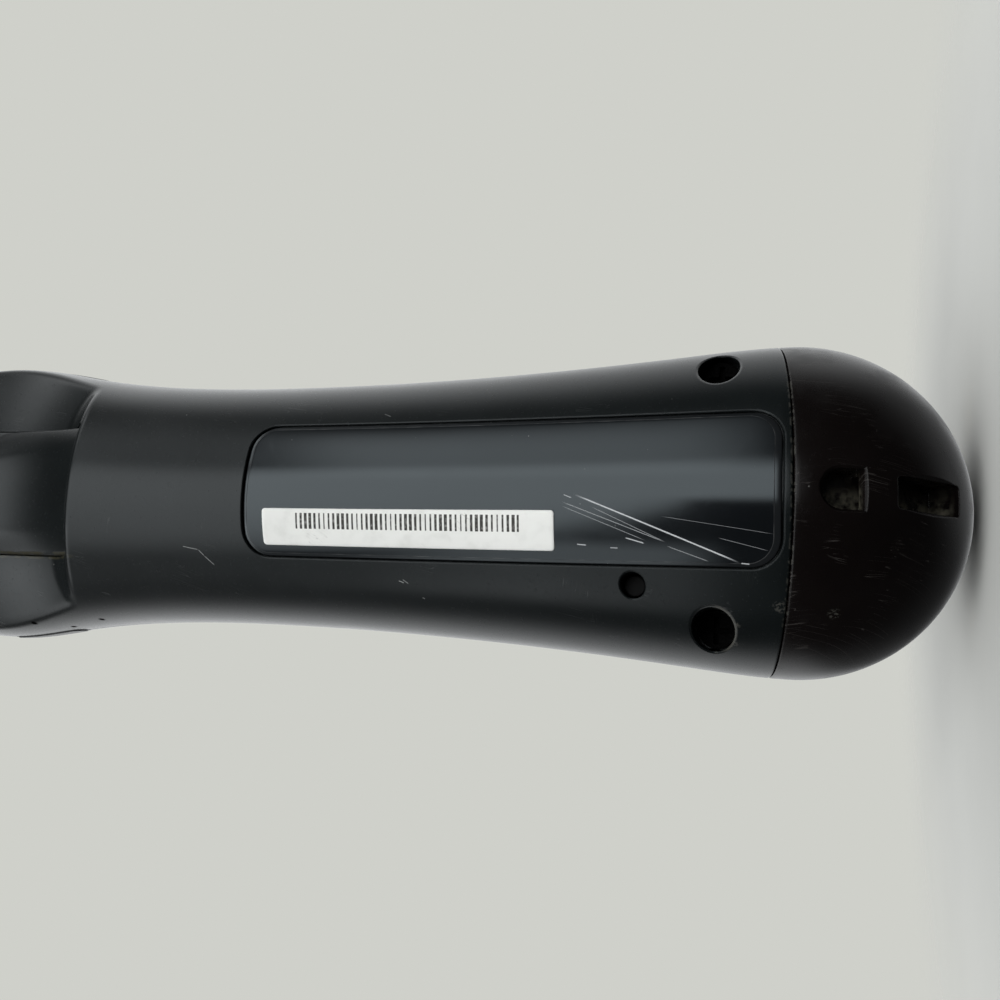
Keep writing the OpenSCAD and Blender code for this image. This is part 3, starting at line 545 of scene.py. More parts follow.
def dome(name):
    """The domed end, walled, up to its tilted joint."""
    theta, s, length = dome_grid()
    quarter = END_R * math.pi / 2
    polar = np.clip(s, 0, quarter) / END_R
    past = np.clip(s - quarter, 0, None)

    def points(off, back):
        z = np.where(s > quarter, END_R + past, END_R - (END_R + off) * np.cos(polar))
        r = np.where(s > quarter, radius(END_R + past) + off, (END_R + off) * np.sin(polar)) - back
        grid = np.stack([r * np.cos(theta), r * np.sin(theta), z], axis=2).reshape(-1, 3)
        return np.concatenate([grid, [[0, 0, -off]]])

    rows, cols = s.shape
    out = numbered(rows, cols)
    inn = [[number + rows * cols + 1 for number in row] for row in out]
    faces = strip(out[-1], inn[-1])
    for grid in (out, inn):
        pole = grid[-1][-1] + 1
        faces += [(pole, grid[0][i], grid[0][(i + 1) % cols]) for i in range(cols)] + sheet(grid)
    verts = np.concatenate([points(0, rim(length - s)), points(-WALL, 0)])
    return new_object(name, verts, faces)


def cut_strap_holes(cap):
    """The bar for a strap: a slot, a round-ended hole and the channel that joins them underneath."""
    housing = rounded(HOUSING_W, -HOUSING_HALF, HOUSING_HALF, 0.3)
    add(cap, housing, on_dome((SLOT_A0 + ROUND_A1) / 2), -HOUSING_DEEP, -HOUSING_TOP)
    bend = END_R * math.sin(math.radians(0.5 * (SLOT_A1 - SLOT_A0)))
    slot = rounded(SLOT_W, -bend, bend, 0.5, ends=4)
    hole_a = ROUND_A1 - math.degrees(math.asin(STRAP_W / 2 / END_R))
    hole = arch(STRAP_W, -END_R * math.sin(math.radians(hole_a - ROUND_A0)), 0.0)
    rings = [(0, -STRAP_DEEP), (0, -STRAP_EASE), (-STRAP_LIP, STRAP_LIP - STRAP_EASE), (-STRAP_LIP, 3)]
    for outline, angle in ((hole, hole_a), (slot, (SLOT_A0 + SLOT_A1) / 2)):
        combine(cap, pad("cut", outline, on_dome(angle), rings))
    under = rounded(SLOT_W, -CHANNEL_HALF, CHANNEL_HALF, 0.3)
    drill(cap, under, on_dome((SLOT_A1 + ROUND_A0) / 2), -STRAP_DEEP, -BAR_T)


def end_cap():
    """The domed end with the strap holes, ports and contact holes."""
    cap = dome("end_cap_skin")
    cut_strap_holes(cap)
    for w, y0, y1 in ((EXT_W, PORT_Y - EXT_H, PORT_Y), (USB_W, PORT_F, PORT_F + USB_H)):
        port = rounded(w + 0.5, y0 - PORT_FIT, y1 + PORT_FIT, PORT_CORNER)
        rings = [(0, -PORT_DEEP), (0, -PORT_EASE)] + flare(PORT_EASE)[1:]
        combine(cap, pad("cut", port, under_dome, rings))
    low, high = END_R - WALL - 3, END_R + 5
    for side in (-1, 1):
        bore = pad("cut", oval(CONTACT_D, CONTACT_D, 0), through("Z"), [(0, low), (0, high)])
        turn = Matrix.Rotation(math.radians(CONTACT_TURN), 4, "Z")
        turn = turn @ Matrix.Rotation(math.radians(CONTACT_TILT), 4, "Y")
        bore.data.transform(Matrix.Translation((0, 0, END_R * MM)) @ turn)
        if side < 0:
            bore.data.transform(Matrix.Scale(-1, 4, (1, 0, 0)))
            bore.data.flip_normals()
        combine(cap, bore)
    return cap


def neck_collar():
    low = NECK_Z + SEAM
    bore = SPIGOT_R + SPIGOT_PLAY
    heights = np.linspace(low + NECK_EASE, LIP_Z - BRIM, 22)
    outer = [(float(radius(low)) - NECK_EASE, low)] + [(float(radius(z)), z) for z in heights]
    lip = arc((LIP_R - BRIM, LIP_Z - BRIM), BRIM, 0, 90, 6)
    seat_r = BALL_R + BALL_FIT
    z_seat = BALL_Z - math.sqrt(seat_r**2 - bore**2)
    seat_a0 = math.degrees(math.asin((LIP_Z - BALL_Z) / seat_r))
    seat_a1 = math.degrees(math.asin((z_seat - BALL_Z) / seat_r))
    seat = arc((0, BALL_Z), seat_r, seat_a0, seat_a1, 8)
    return turned("neck_collar_ring", [(bore, low)] + outer + lip + seat)


def ball():
    """The soft ball with its spigot, and a faint parting ring round its middle."""
    foot = NECK_Z + SPIGOT_FOOT
    inner_r = BALL_R - BALL_WALL
    bore = SPIGOT_R - SPIGOT_WALL
    low = -math.degrees(math.acos(SPIGOT_R / BALL_R))
    low_in = -math.degrees(math.acos(bore / inner_r))
    outer = []
    for a in np.concatenate([np.linspace(low, -1, 40), [-0.35, 0, 0.35], np.linspace(1, 90, 60)]):
        dip = BALL_RING if a == 0 else 0.0
        outer += arc((0, BALL_Z), BALL_R - dip, a, a, 0)
    inner = arc((0, BALL_Z), inner_r, 90, low_in, 60)
    return turned("ball_skin", [(SPIGOT_R, foot)] + outer + inner + [(bore, foot)])


def trigger():
    """The trigger: a saddle face with rounded edges, side cheeks, pin bosses and its plunger."""

    def face_y(u, v, off):
        rho = AXIS_Y + PULL_Y + PULL_SWEEP
        rho = rho - np.sqrt(PULL_SWEEP**2 - (v - PULL_Z) ** 2)
        saddle = np.sqrt(rho**2 - u**2) - AXIS_Y
        skin = np.sqrt((radius(v) - PULL_SUNK) ** 2 - u**2)
        flat = PULL_FLAT - 1.5 * np.clip((v - PULL_Z + 5) / 8, 0, 1) ** 2
        side = np.clip((np.abs(u) - flat) / (PULL_W / 2 - PULL_FLAT), 0, 1.3)
        return u, -(soft_min(saddle, skin, 1.2) - PULL_ROLL * side**2 + off), v

    face = rounded(PULL_W + 2 * PULL_EASE, PULL_Z0, PULL_Z1, PULL_CORNER, sides=40)
    edge = 0.3
    half = PULL_W / 2
    top = fillet(0, edge) + inward(edge, half, 16, 0)
    under = [(half - a, PULL_ROLL - PULL_WALL) for a, _ in inward(0, half, 12, 0)]
    piece = pad("trigger_face", face, face_y, under + top)
    cheek = rounded(CHEEK_W, PIN_Z - CHEEK_LOW, PULL_Z1 - CHEEK_TOP, CHEEK_CORNER)
    boss = oval(BOSS_D, BOSS_D, PIN_Z)
    for facing in (-1, 1):
        start, stop = facing * (half - CHEEK_IN), facing * (half - CHEEK_OUT)
        add(piece, cheek, through("X", PIN_Y - CHEEK_BACK), start, stop)
        add(piece, boss, through("X", PIN_Y), facing * BOSS_IN, facing * (half - BOSS_OUT))
    stem = rounded(PLUNGER_W, PLUNGER_Z - PLUNGER_HALF, PLUNGER_Z + PLUNGER_HALF, 0.4)
    add(piece, stem, through("Y"), PLUNGER_OUT, PLUNGER_IN)
    hole = 2 * (PIN_R + PIN_PLAY)
    drill(piece, oval(hole, hole, PIN_Z), through("X", PIN_Y), -20, 20)
    return piece


def spring():
    """The trigger's spring: a leg on the case, turns of wire round the pin and a tail on the trigger."""
    coil, sides, half = PIN_R + 1.0, 12, SPRING_HALF
    angle = np.radians(np.arange(0, SPRING_TURN + 1, 15))
    along = np.linspace(-half, half, len(angle))
    y, z = PIN_Y + coil * np.cos(angle), PIN_Z + coil * np.sin(angle)
    turns = np.stack([along, y, z, -np.sin(angle), np.cos(angle)], axis=1)
    leg = [[-half, PIN_Y + coil + 1.4, PIN_Z - 3.6, -0.37, 0.93]]
    tail = [[half, PIN_Y - coil + 0.5, PIN_Z - 9.0, 0.0, -1.0]]
    path = np.concatenate([leg, turns, tail])
    x, y, z, run_y, run_z = path.T[:, :, None]
    about = np.linspace(0, 2 * math.pi, sides, endpoint=False)
    out = SPRING_WIRE * np.sin(about)
    verts = np.stack([x + SPRING_WIRE * np.cos(about), y - out * run_z, z + out * run_y], axis=2)
    rows = numbered(len(path), sides)
    faces = [rows[0][::-1], rows[-1]] + sheet(rows)
    return new_object("trigger_spring_wire", verts.reshape(-1, 3), faces)


def button(name, outline, place, half, high, edge, sag, lug):
    """A push button with a flange under the shell, a rounded rim and a slightly hollow or crowned top."""
    rings = [(-lug, -WALL - FLANGE_LOW), (-lug, -WALL - FLANGE_TOP), (0, -WALL - FLANGE_TOP)]
    rings += fillet(high, edge) + inward(edge, half * 0.985, 10, high, sag)
    return pad(name, outline, place, rings)


def label_plate():
    """The glossy plate in its pocket, with a fine rounded edge."""
    edge = 0.15
    half = LABEL_W / 2 - LABEL_EASE - 0.1
    low = -LABEL_T - LABEL_SUNK
    outline = rounded(LABEL_W, LABEL_Z0, LABEL_Z1, LABEL_CORNER)
    under = [(LABEL_EASE + half - (half / 10) * k, low) for k in range(10)]
    rings = [(LABEL_EASE, low)] + fillet(-LABEL_SUNK, edge, LABEL_EASE, 4)
    rings += inward(LABEL_EASE + edge, LABEL_EASE + half, 14, -LABEL_SUNK)
    return pad("label_plate_gloss", outline, on_skin(-1), under + rings)


def sticker():
    edge = 0.04
    plate = rounded(STICKER_W, STICKER_Z0, STICKER_Z0 + STICKER_L, 0.4)
    half = STICKER_W / 2 - 0.05
    under = [(half - a, -LABEL_SUNK) for a, _ in inward(0, half, 4, 0)]
    top = fillet(0, edge, steps=2) + inward(edge, half, 5, 0)
    return pad("sticker_plain", plate, on_skin(-1, STICKER_X), under + top)


# Materials
class Nodes:
    """Short ways to add nodes to a node tree."""

    def __init__(self, tree):
        self.tree = tree

    def node(self, kind, inputs=(), **settings):
        made = self.tree.nodes.new(kind)
        for key, value in settings.items():
            setattr(made, key, value)
        for key, value in dict(inputs).items():
            self.feed(made.inputs[key], value)
        return made

    def feed(self, socket, value):
        if isinstance(value, bpy.types.NodeSocket):
            self.tree.links.new(value, socket)
        else:
            socket.default_value = value

    def vector(self, operation, a, b=None, c=None, **named):
        inputs = {0: a, **named}
        inputs.update({k: v for k, v in ((1, b), (2, c)) if v is not None})
        made = self.node("ShaderNodeVectorMath", inputs, operation=operation)
        return made.outputs["Value" if operation in ("DOT_PRODUCT", "LENGTH", "DISTANCE") else "Vector"]

    def axes(self, vector):
        return self.node("ShaderNodeSeparateXYZ", {"Vector": vector}).outputs

    def math(self, operation, a, b=0.0):
        return self.node("ShaderNodeMath", {0: a, 1: b}, operation=operation).outputs[0]

    def chain(self, operation, *values):
        total = values[0]
        for value in values[1:]:
            total = self.math(operation, total, value)
        return total

    def both(self, *masks):
        return self.chain("MULTIPLY", *masks)

    def either(self, *masks):
        return self.chain("MAXIMUM", *masks)

    def total(self, *values):
        return self.chain("ADD", *values)

    def band(self, value, low, high, start=0.0, stop=1.0):
        """A value eased from start to stop as it goes from low to high."""
        inputs = {"Value": value, "From Min": low, "From Max": high, "To Min": start, "To Max": stop}
        made = self.node("ShaderNodeMapRange", inputs, interpolation_type="SMOOTHSTEP")
        return made.outputs["Result"]

    def line(self, value, width, core):
        """A line where a value is near nothing, from its full width to its solid core."""
        return self.band(self.math("ABSOLUTE", value), width, core)

    def mix(self, kind, mask, a, b):
        made = self.node("ShaderNodeMix", {"Factor": mask}, data_type=kind)
        ends = {"FLOAT": "Float", "RGBA": "Color"}[kind]
        sockets = {socket.identifier: socket for socket in made.inputs}
        self.feed(sockets["A_" + ends], a)
        self.feed(sockets["B_" + ends], b)
        return {socket.identifier: socket for socket in made.outputs}["Result_" + ends]


class Finish(Nodes):
    """One procedural material. Lengths in its patterns are millimetres of the part's own frame."""

    def __init__(self, name, colour, roughness, **fixed):
        self.material = bpy.data.materials.new(name)
        self.material.use_nodes = True
        super().__init__(self.material.node_tree)
        self.shader = self.tree.nodes["Principled BSDF"]
        for key, value in fixed.items():
            self.shader.inputs[key.replace("_", " ")].default_value = value
        self.colour = (*colour, 1)
        self.roughness = roughness
        self.shine = fixed.get("Specular_IOR_Level", 0.5)
        self.bump = None
        coords = self.node("ShaderNodeTexCoord").outputs["Object"]
        self.place = self.vector("SCALE", coords, Scale=1 / MM)
        self.at = self.axes(self.place)

    def noise(self, scale, detail=2.0, stretch=(1, 1, 1), shift=0.0):
        """Cloudy noise, with so many clouds to a millimetre."""
        at = self.vector("MULTIPLY_ADD", self.place, stretch, (shift, shift, shift))
        inputs = {"Vector": at, "Scale": scale, "Detail": detail}
        return self.node("ShaderNodeTexNoise", inputs).outputs["Fac"]

    def clouds(self, levels, *noise, **named):
        """A mask from cloudy noise, eased between two levels of it."""
        return self.band(self.noise(*noise, **named), *levels)

    def specks(self, scale, size, share):
        """Small scattered dots: cells to a millimetre, dot size as a share of a cell, share of cells."""
        cells = self.node("ShaderNodeTexVoronoi", {"Vector": self.place, "Scale": scale})
        dots = self.band(cells.outputs["Distance"], size, size * 0.5)
        pick = self.node("ShaderNodeSeparateColor", {"Color": cells.outputs["Color"]}).outputs
        size = self.band(pick["Green"], 0.0, 1.0, 0.25, 1.0)
        return self.both(dots, size, self.math("LESS_THAN", pick["Red"], share))

    def hairlines(self, angle, across, along, width, share, shift=0.0):
        """Fine long scratches at an angle from the wand's axis, on a share of the surface."""
        a = math.radians(angle)
        aside = (math.cos(a) * across, 0.3 * across, -math.sin(a) * across)
        ahead = (math.sin(a) * along, 0.0, math.cos(a) * along)
        u = self.vector("DOT_PRODUCT", self.place, aside)
        v = self.vector("DOT_PRODUCT", self.place, ahead)
        at = self.node("ShaderNodeCombineXYZ", {"X": u, "Y": v, "Z": shift}).outputs[0]
        wave = self.node("ShaderNodeTexNoise", {"Vector": at, "Scale": 1.0, "Detail": 1.0}).outputs["Fac"]
        line = self.line(self.math("SUBTRACT", wave, 0.5), width, width * 0.3)
        patch = self.band(self.noise(0.16, 3, shift=shift + 5), 1 - share, 1.05 - share)
        return self.both(line, patch)

    def streak(self, start, stop, width, fade=0.12):
        """A thin scratch between two (x, z) points, thinning at its ends."""
        a = np.array([start[0], 0, start[1]], float)
        run = np.array([stop[0], 0, stop[1]], float) - a
        length = float(np.linalg.norm(run))
        run /= length
        off = self.vector("SUBTRACT", self.place, tuple(a))
        along = self.vector("DOT_PRODUCT", off, tuple(run / length))
        across = self.vector("DOT_PRODUCT", off, (float(run[2]), 0.0, -float(run[0])))
        thin = self.line(across, width, width * 0.3)
        return self.both(thin, self.band(along, 0, fade), self.band(along, 1, 1 - fade))

    def near(self, point, size):
        """A soft spot about a point."""
        return self.band(self.vector("DISTANCE", self.place, point), size, size * 0.4)

    def past(self, axis, *levels):
        """A mask eased between two levels along an axis."""
        return self.band(self.at[axis], *levels)

    def inside(self, axis, low, high, soft=0.1):
        return self.both(self.past(axis, low - soft, low), self.past(axis, high + soft, high))

    def tint(self, mask, colour):
        """Shifts the colour where a mask is strong."""
        self.colour = self.mix("RGBA", mask, self.colour, (*colour, 1))

    def soften(self, mask, roughness):
        """Shifts the roughness where a mask is strong."""
        self.roughness = self.mix("FLOAT", mask, self.roughness, roughness)

    def patch(self, mask, colour, roughness):
        """Shifts both colour and roughness where a mask is strong."""
        self.tint(mask, colour)
        self.soften(mask, roughness)

    def dull(self, mask, level):
        """Shifts the strength of the reflections where a mask is strong."""
        self.shine = self.mix("FLOAT", mask, self.shine, level)

    def raise_by(self, height, depth):
        """Adds a fine relief, its depth in millimetres."""
        made = self.node("ShaderNodeBump", {"Height": height, "Distance": depth * MM, "Strength": 1.0})
        if self.bump is not None:
            self.feed(made.inputs["Normal"], self.bump)
        self.bump = made.outputs["Normal"]

    def round_edges(self, size):
        """Turns sharp edges into small rounded ones for the light, and returns a mask of them."""
        made = self.node("ShaderNodeBevel", {"Radius": size * MM}, samples=6).outputs["Normal"]
        self.bump = made
        plain = self.node("ShaderNodeNewGeometry").outputs["Normal"]
        return self.band(self.vector("DOT_PRODUCT", made, plain), 0.985, 0.85)

    def done(self):
        ends = {"Base Color": self.colour, "Roughness": self.roughness, "Specular IOR Level": self.shine}
        if self.bump is not None:
            ends["Normal"] = self.bump
        for key, value in ends.items():
            self.feed(self.shader.inputs[key], value)
        return self.material


DUST = (0.30, 0.30, 0.28)
GRIME = (0.075, 0.066, 0.036)
SILT = (0.100, 0.093, 0.070)
# Pale grey of wear, also painted on as a highlight along the cap joint and in one screw hole
WORN_AND_LIT = (0.06, 0.058, 0.05)


def moulded(name, colour, roughness, grain=0.004, dust=0.1, edge=0.2, wear=0.35, shine=0.22, **fixed):
    """Moulded plastic: fine spark-eroded grain, faint clouding, handling shine, dust, and edges lightened
    by wear and by a painted highlight.
    """
    finish = Finish(name, colour, roughness, Specular_IOR_Level=shine, **fixed)
    edges = finish.round_edges(edge)
    paler = tuple(c + min(c * 0.25, 0.02) + 0.001 for c in colour)
    finish.tint(finish.clouds((0.4, 0.75), 0.12, 4), paler)
    finish.soften(finish.clouds((0.42, 0.7), 0.09, 3, shift=7), roughness * 0.88)
    finish.soften(finish.clouds((0.5, 0.8), 2.5, 2, shift=3), min(roughness * 1.2, 1.0))
    # Lighter rounded edges: part wear, part painted highlight where the edges catch light
    rubbed_and_lit_edges = finish.both(edges, finish.clouds((0.35, 0.65, 0.15, 1.0), 0.9, 3, shift=2), wear)
    finish.tint(rubbed_and_lit_edges, tuple(c * 2.5 + 0.02 for c in colour))
    if dust:
        finish.tint(finish.both(finish.specks(0.5, 0.05, dust), 0.7), DUST)
    finish.raise_by(finish.noise(7.0, 2, shift=11), grain)
    return finish


def marks(finish, lines, colour, roughness=0.6):
    """Adds scratches, each a start, a stop, a width and a strength."""
    masks = [finish.both(finish.streak(a, b, w), strength) for a, b, w, strength in lines]
    mask = finish.either(*masks)
    finish.patch(mask, colour, roughness)


def worn_and_lit_joint(finish, wide):
    """Lightens the edge along the tilted joint of the end cap, in dots: part wear, part painted highlight
    of its rounded lips.
    """
    lean = finish.math("MULTIPLY", finish.at["Y"], CAP_SLOPE)
    off = finish.chain("SUBTRACT", finish.at["Z"], lean, SEAM_Z)
    edge = finish.line(off, wide, wide * 0.4)
    dots = finish.clouds((0.47, 0.60), 1.6, 3, shift=13)
    mask = finish.both(edge, dots, finish.past("Y", -12.0, -15.0), 0.7)
    # Lighter dots along the joint: wear and a painted highlight
    finish.patch(mask, WORN_AND_LIT, 0.6)


def scuffs(finish, spots):
    """Adds small rough spots, each a point and a size."""
    masks = [finish.near(point, size) for point, size in spots]
    mask = finish.both(finish.either(*masks), finish.clouds((0.48, 0.60), 3.5, 3, shift=15), 0.8)
    finish.patch(mask, WORN_AND_LIT, 0.6)


SHELL, SHELL_ROUGH = (0.0046, 0.0061, 0.0063), 0.24
COOL = (0.93, 0.98, 1.0, 1.0)


def shell_plastic(name):
    """The dark, cool plastic of the shells and the trigger."""
    return moulded(name, SHELL, SHELL_ROUGH, Specular_Tint=COOL)


# Marks on the back: scratches as (x, z) points, painted dent shade as a height and a turn, scuffs as a
# point and a size
FIBRE = [(-7.17, 91.65), (-7.53, 89.42), (-8.23, 88.75), (-9.32, 87.6)]
SCRATCHES = [
    ((-10.36, 62.81), (-10.58, 62.17), 0.08, 0.7), ((-10.21, 62.26), (-10.65, 61.61), 0.08, 0.6),
    ((9.54, 65.95), (9.13, 64.91), 0.06, 0.3), ((-12.16, 60.3), (-12.26, 60.0), 0.06, 0.5),
]
DENT_SHADE_SPOTS = [(120.5, -69.7), (116.6, -79.7), (110.6, -73.7)]
SCUFFS = [
    ((-11.67, -15.28, 20.0), 0.9), ((-13.64, -13.28, 24.6), 0.8), ((-15.49, -11.0, 25.0), 0.9),
    ((-16.32, -9.4, 26.8), 0.7),
]


def dent_shade_spots(finish):
    """Paints small dark spots that reflect nothing, as the shade of dents."""
    for z, turn in DENT_SHADE_SPOTS:
        r = float(radius(z))
        a = math.radians(turn)
        dent_shade = finish.near((r * math.sin(a), -r * math.cos(a), z), 0.7)
        # Painted shade: each dent is only a dark spot with no reflection
        finish.tint(finish.both(dent_shade, 0.9), (0.004, 0.004, 0.004))
        finish.dull(dent_shade, 0.0)


def painted_bore_highlight(finish):
    """Paints a highlight, a lit crescent, on the lower rim of one screw hole."""
    level = finish.vector("MULTIPLY", finish.place, (1, 0, 1))
    away = finish.vector("DISTANCE", level, (-SCREW_X, 0.0, SCREW_Z))
    ring = finish.line(finish.math("SUBTRACT", away, SCREW_BORE / 2), 0.35, 0.15)
    lit = finish.past("Z", SCREW_Z + 0.4, SCREW_Z - 1.0)
    patchy_highlight = finish.clouds((0.3, 0.5, 0.4, 0.9), 1.1, 3, shift=21)
    # Painted highlight: a patchy lit crescent on the hole's wall
    finish.tint(finish.both(ring, lit, patchy_highlight, finish.past("Y", -9.0, -10.0)), WORN_AND_LIT)


def slot_dirt(finish, back):
    """Adds dirt along one side of the trigger's slot."""
    side = finish.math("ADD", finish.at["X"], PULL_W / 2 + PULL_GAP + 0.15)
    crumbs = finish.clouds((0.42, 0.58), 1.5, 4, (1, 1, 0.5), shift=17)
    slot = finish.both(finish.line(side, 0.3, 0.1), finish.inside("Z", PULL_Z0, PULL_Z0 + 16.0, 2.0), back)
    finish.tint(finish.both(slot, crumbs, 0.45), GRIME)


def rear_plastic():
    """The back of the grip: a stuck fibre, short scratches, dents as painted shade, a joint rim both worn
    and painted with highlight, a painted highlight in a screw hole and fine handling lines.
    """
    finish = shell_plastic("rear_plastic")
    back = finish.past("Y", 0.0, -1.0)
    along = finish.hairlines(12, 2.2, 0.10, 0.008, 0.40, 3.0)
    across = finish.hairlines(-68, 2.0, 0.12, 0.006, 0.34, 8.0)
    finish.tint(finish.both(finish.either(along, across), back, 0.5), (0.06, 0.062, 0.062))
    fibre = [(a, b, 0.06, 0.7) for a, b in zip(FIBRE, FIBRE[1:])]
    marks(finish, fibre + SCRATCHES, (0.42, 0.43, 0.42))
    dent_shade_spots(finish)
    worn_and_lit_joint(finish, 0.35)
    scuffs(finish, SCUFFS)
    painted_bore_highlight(finish)
    slot_dirt(finish, back)
    return finish.done()


def trigger_plastic():
    """The trigger: the shell's plastic with a line of dirt along one edge."""
    finish = shell_plastic("trigger_plastic")
    edge = finish.both(finish.past("X", -8.15, -8.35), finish.past("Y", -9.0, -11.0))
    crumbs = finish.clouds((0.38, 0.58), 1.2, 4, (1, 1, 0.4), shift=19)
    finish.tint(finish.both(edge, crumbs, 0.5), GRIME)
    finish.soften(finish.both(edge, crumbs), 0.8)
    return finish.done()


def cap_plastic_hand_shaded():
    """The domed end: smoother, its darker, warmer colour a painted shade and warm reflection of a holding
    hand, scuffed along its length, with grime in the strap holes.
    """
    # Darker, warmer base than the shells: painted shade and warm reflection of a hand
    finish = moulded("cap_plastic_hand_shaded", (0.0036, 0.0024, 0.0022), SHELL_ROUGH, wear=0.5, shine=0.19)
    first = finish.hairlines(3, 1.6, 0.08, 0.008, 0.50, 1.0)
    fine = finish.either(first, finish.hairlines(-8, 1.9, 0.10, 0.006, 0.45, 6.0))
    handled = finish.past("X", 6.0, -1.0, 0.2, 0.6)
    finish.tint(finish.both(fine, handled), (0.05, 0.045, 0.042))
    finish.soften(finish.clouds((0.5, 0.7), 0.2, 4, shift=9), 0.34)
    depth = finish.vector("DISTANCE", finish.place, (0.0, 0.0, END_R))
    back = finish.past("Y", -6.0, -8.0)
    sunk = finish.both(finish.band(depth, END_R - 0.4, END_R - 1.6), back)
    lower = finish.past("X", 0.9, -0.7, 0.15, 1.0)
    dirt = finish.both(sunk, lower, finish.clouds((0.38, 0.62), 0.9, 5, shift=4))
    finish.patch(dirt, SILT, 0.95)
    worn_and_lit_joint(finish, 0.30)
    scuffs(finish, [((-12.1, -14.3, 14.83), 0.8)])
    return finish.done()


def label_gloss():
    """The label plate: a glossy film with its edge just inside drawn as a patchy painted highlight line,
    white scratches, specks and smears.
    """
    finish = moulded(
        "label_gloss", (0.0042, 0.005, 0.006), 0.11, grain=0.0006, dust=0.16, wear=0.2, shine=0.38,
        Specular_Tint=(0.84, 0.95, 1.0, 1.0),
    )
    finish.soften(finish.clouds((0.5, 0.75), 0.25, 4, (1, 1, 0.35), shift=12), 0.17)
    round_by = 2.6
    middle = (0.0, 0.0, (LABEL_Z0 + LABEL_Z1 + 0.3) / 2)
    half = (LABEL_W / 2 - 0.4 - round_by, 1000.0, (LABEL_Z1 - LABEL_Z0 - 1.2) / 2 - round_by)
    off = finish.vector("ABSOLUTE", finish.vector("SUBTRACT", finish.place, middle))
    off = finish.vector("MAXIMUM", finish.vector("SUBTRACT", off, half), (0.0, 0.0, 0.0))
    gap = finish.math("SUBTRACT", finish.vector("LENGTH", off), round_by)
    # Film edge: a patchy painted highlight standing in for glints along it
    line = finish.line(gap, 0.06, 0.02)
    patchy_highlight = finish.clouds((0.35, 0.7, 0.1, 0.8), 0.4, 3, shift=6)
    finish.tint(finish.both(line, patchy_highlight), (0.10, 0.10, 0.10))
    film = finish.band(gap, 0.04, -0.04)
    finish.tint(finish.both(finish.math("SUBTRACT", 1.0, film), 0.5), (0.016, 0.017, 0.018))
    finish.raise_by(film, 0.02)
    lines = [
        ((-0.63, 41.38), (-7.57, 23.78), 0.10, 1.0), ((-1.42, 42.75), (-5.65, 31.28), 0.05, 0.55),
        ((-1.87, 42.74), (-5.51, 33.36), 0.04, 0.5), ((-1.96, 39.42), (-5.65, 31.28), 0.04, 0.5),
        ((-5.98, 31.28), (-7.47, 26.91), 0.05, 0.5), ((-5.20, 35.64), (-5.76, 33.54), 0.08, 0.9),
        ((-5.94, 40.92), (-6.02, 39.82), 0.08, 0.8), ((-6.24, 37.28), (-6.27, 36.38), 0.08, 0.6),
        ((-2.98, 31.96), (-4.70, 20.44), 0.03, 0.35), ((-5.10, 26.06), (-6.31, 21.06), 0.04, 0.35),
        ((-0.71, 42.40), (-1.08, 41.46), 0.06, 0.7), ((-7.57, 23.78), (-7.63, 22.90), 0.08, 0.9),
    ]
    marks(finish, lines, (0.62, 0.63, 0.64))
    return finish.done()


def sticker_paper():
    """A white sticker with stripes at one even pitch, swelling and shrinking in turn, a little rubbed."""
    finish = moulded("sticker_paper", (0.95, 0.95, 0.91), 0.55, grain=0.002, dust=0, wear=0.0)
    finish.tint(finish.clouds((0.45, 0.8), 0.5, 4), (0.86, 0.86, 0.82))
    along = finish.math("SUBTRACT", finish.at["Z"], STICKER_Z0)
    pitch = finish.math("PINGPONG", along, 0.31)
    slow = finish.math("PINGPONG", along, 2.17)
    stripe = finish.band(finish.math("SUBTRACT", pitch, finish.math("MULTIPLY", slow, 0.06)), 0.08, 0.13)
    run = finish.inside("Z", STICKER_Z0 + 4.0, STICKER_Z0 + 32.4, 0.03)
    row = finish.both(run, finish.inside("X", -4.75, -2.95, 0.03))
    rub = finish.clouds((0.3, 0.5, 0.75, 1.0), 3.0, 3, shift=5)
    finish.tint(finish.both(stripe, row, rub), (0.045, 0.042, 0.038))
    finish.tint(finish.both(finish.hairlines(30, 2.5, 0.2, 0.01, 0.4, 2.0), 0.4), (0.45, 0.45, 0.43))
    return finish.done()


def ball_rubber():
    """The soft milky ball, with a faint blush of handling dirt."""
    finish = moulded("ball_rubber", (0.80, 0.80, 0.77), 0.55, grain=0.003, dust=0.0, wear=0.0)
    finish.tint(finish.clouds((0.4, 0.9), 0.06, 4, shift=1), (0.76, 0.755, 0.73))
    finish.tint(finish.both(finish.specks(0.3, 0.05, 0.08), 0.6), (0.35, 0.34, 0.31))
    return finish.done()


def metal(name, colour, roughness, grain=(1, 1, 1)):
    """Bare or plated metal, brushed along one way, with dull patches."""
    finish = Finish(name, colour, roughness, Metallic=1.0)
    edges = finish.round_edges(0.08)
    brushed = finish.noise(6.0, 3, grain, shift=2)
    finish.soften(finish.band(brushed, 0.35, 0.75), min(roughness * 1.5, 1.0))
    finish.tint(finish.clouds((0.45, 0.8), 0.6, 3), tuple(c * 0.7 for c in colour))
    finish.tint(finish.both(edges, 0.4), tuple(min(c * 1.3, 1.0) for c in colour))
    finish.raise_by(brushed, 0.002)
    return finish.done()


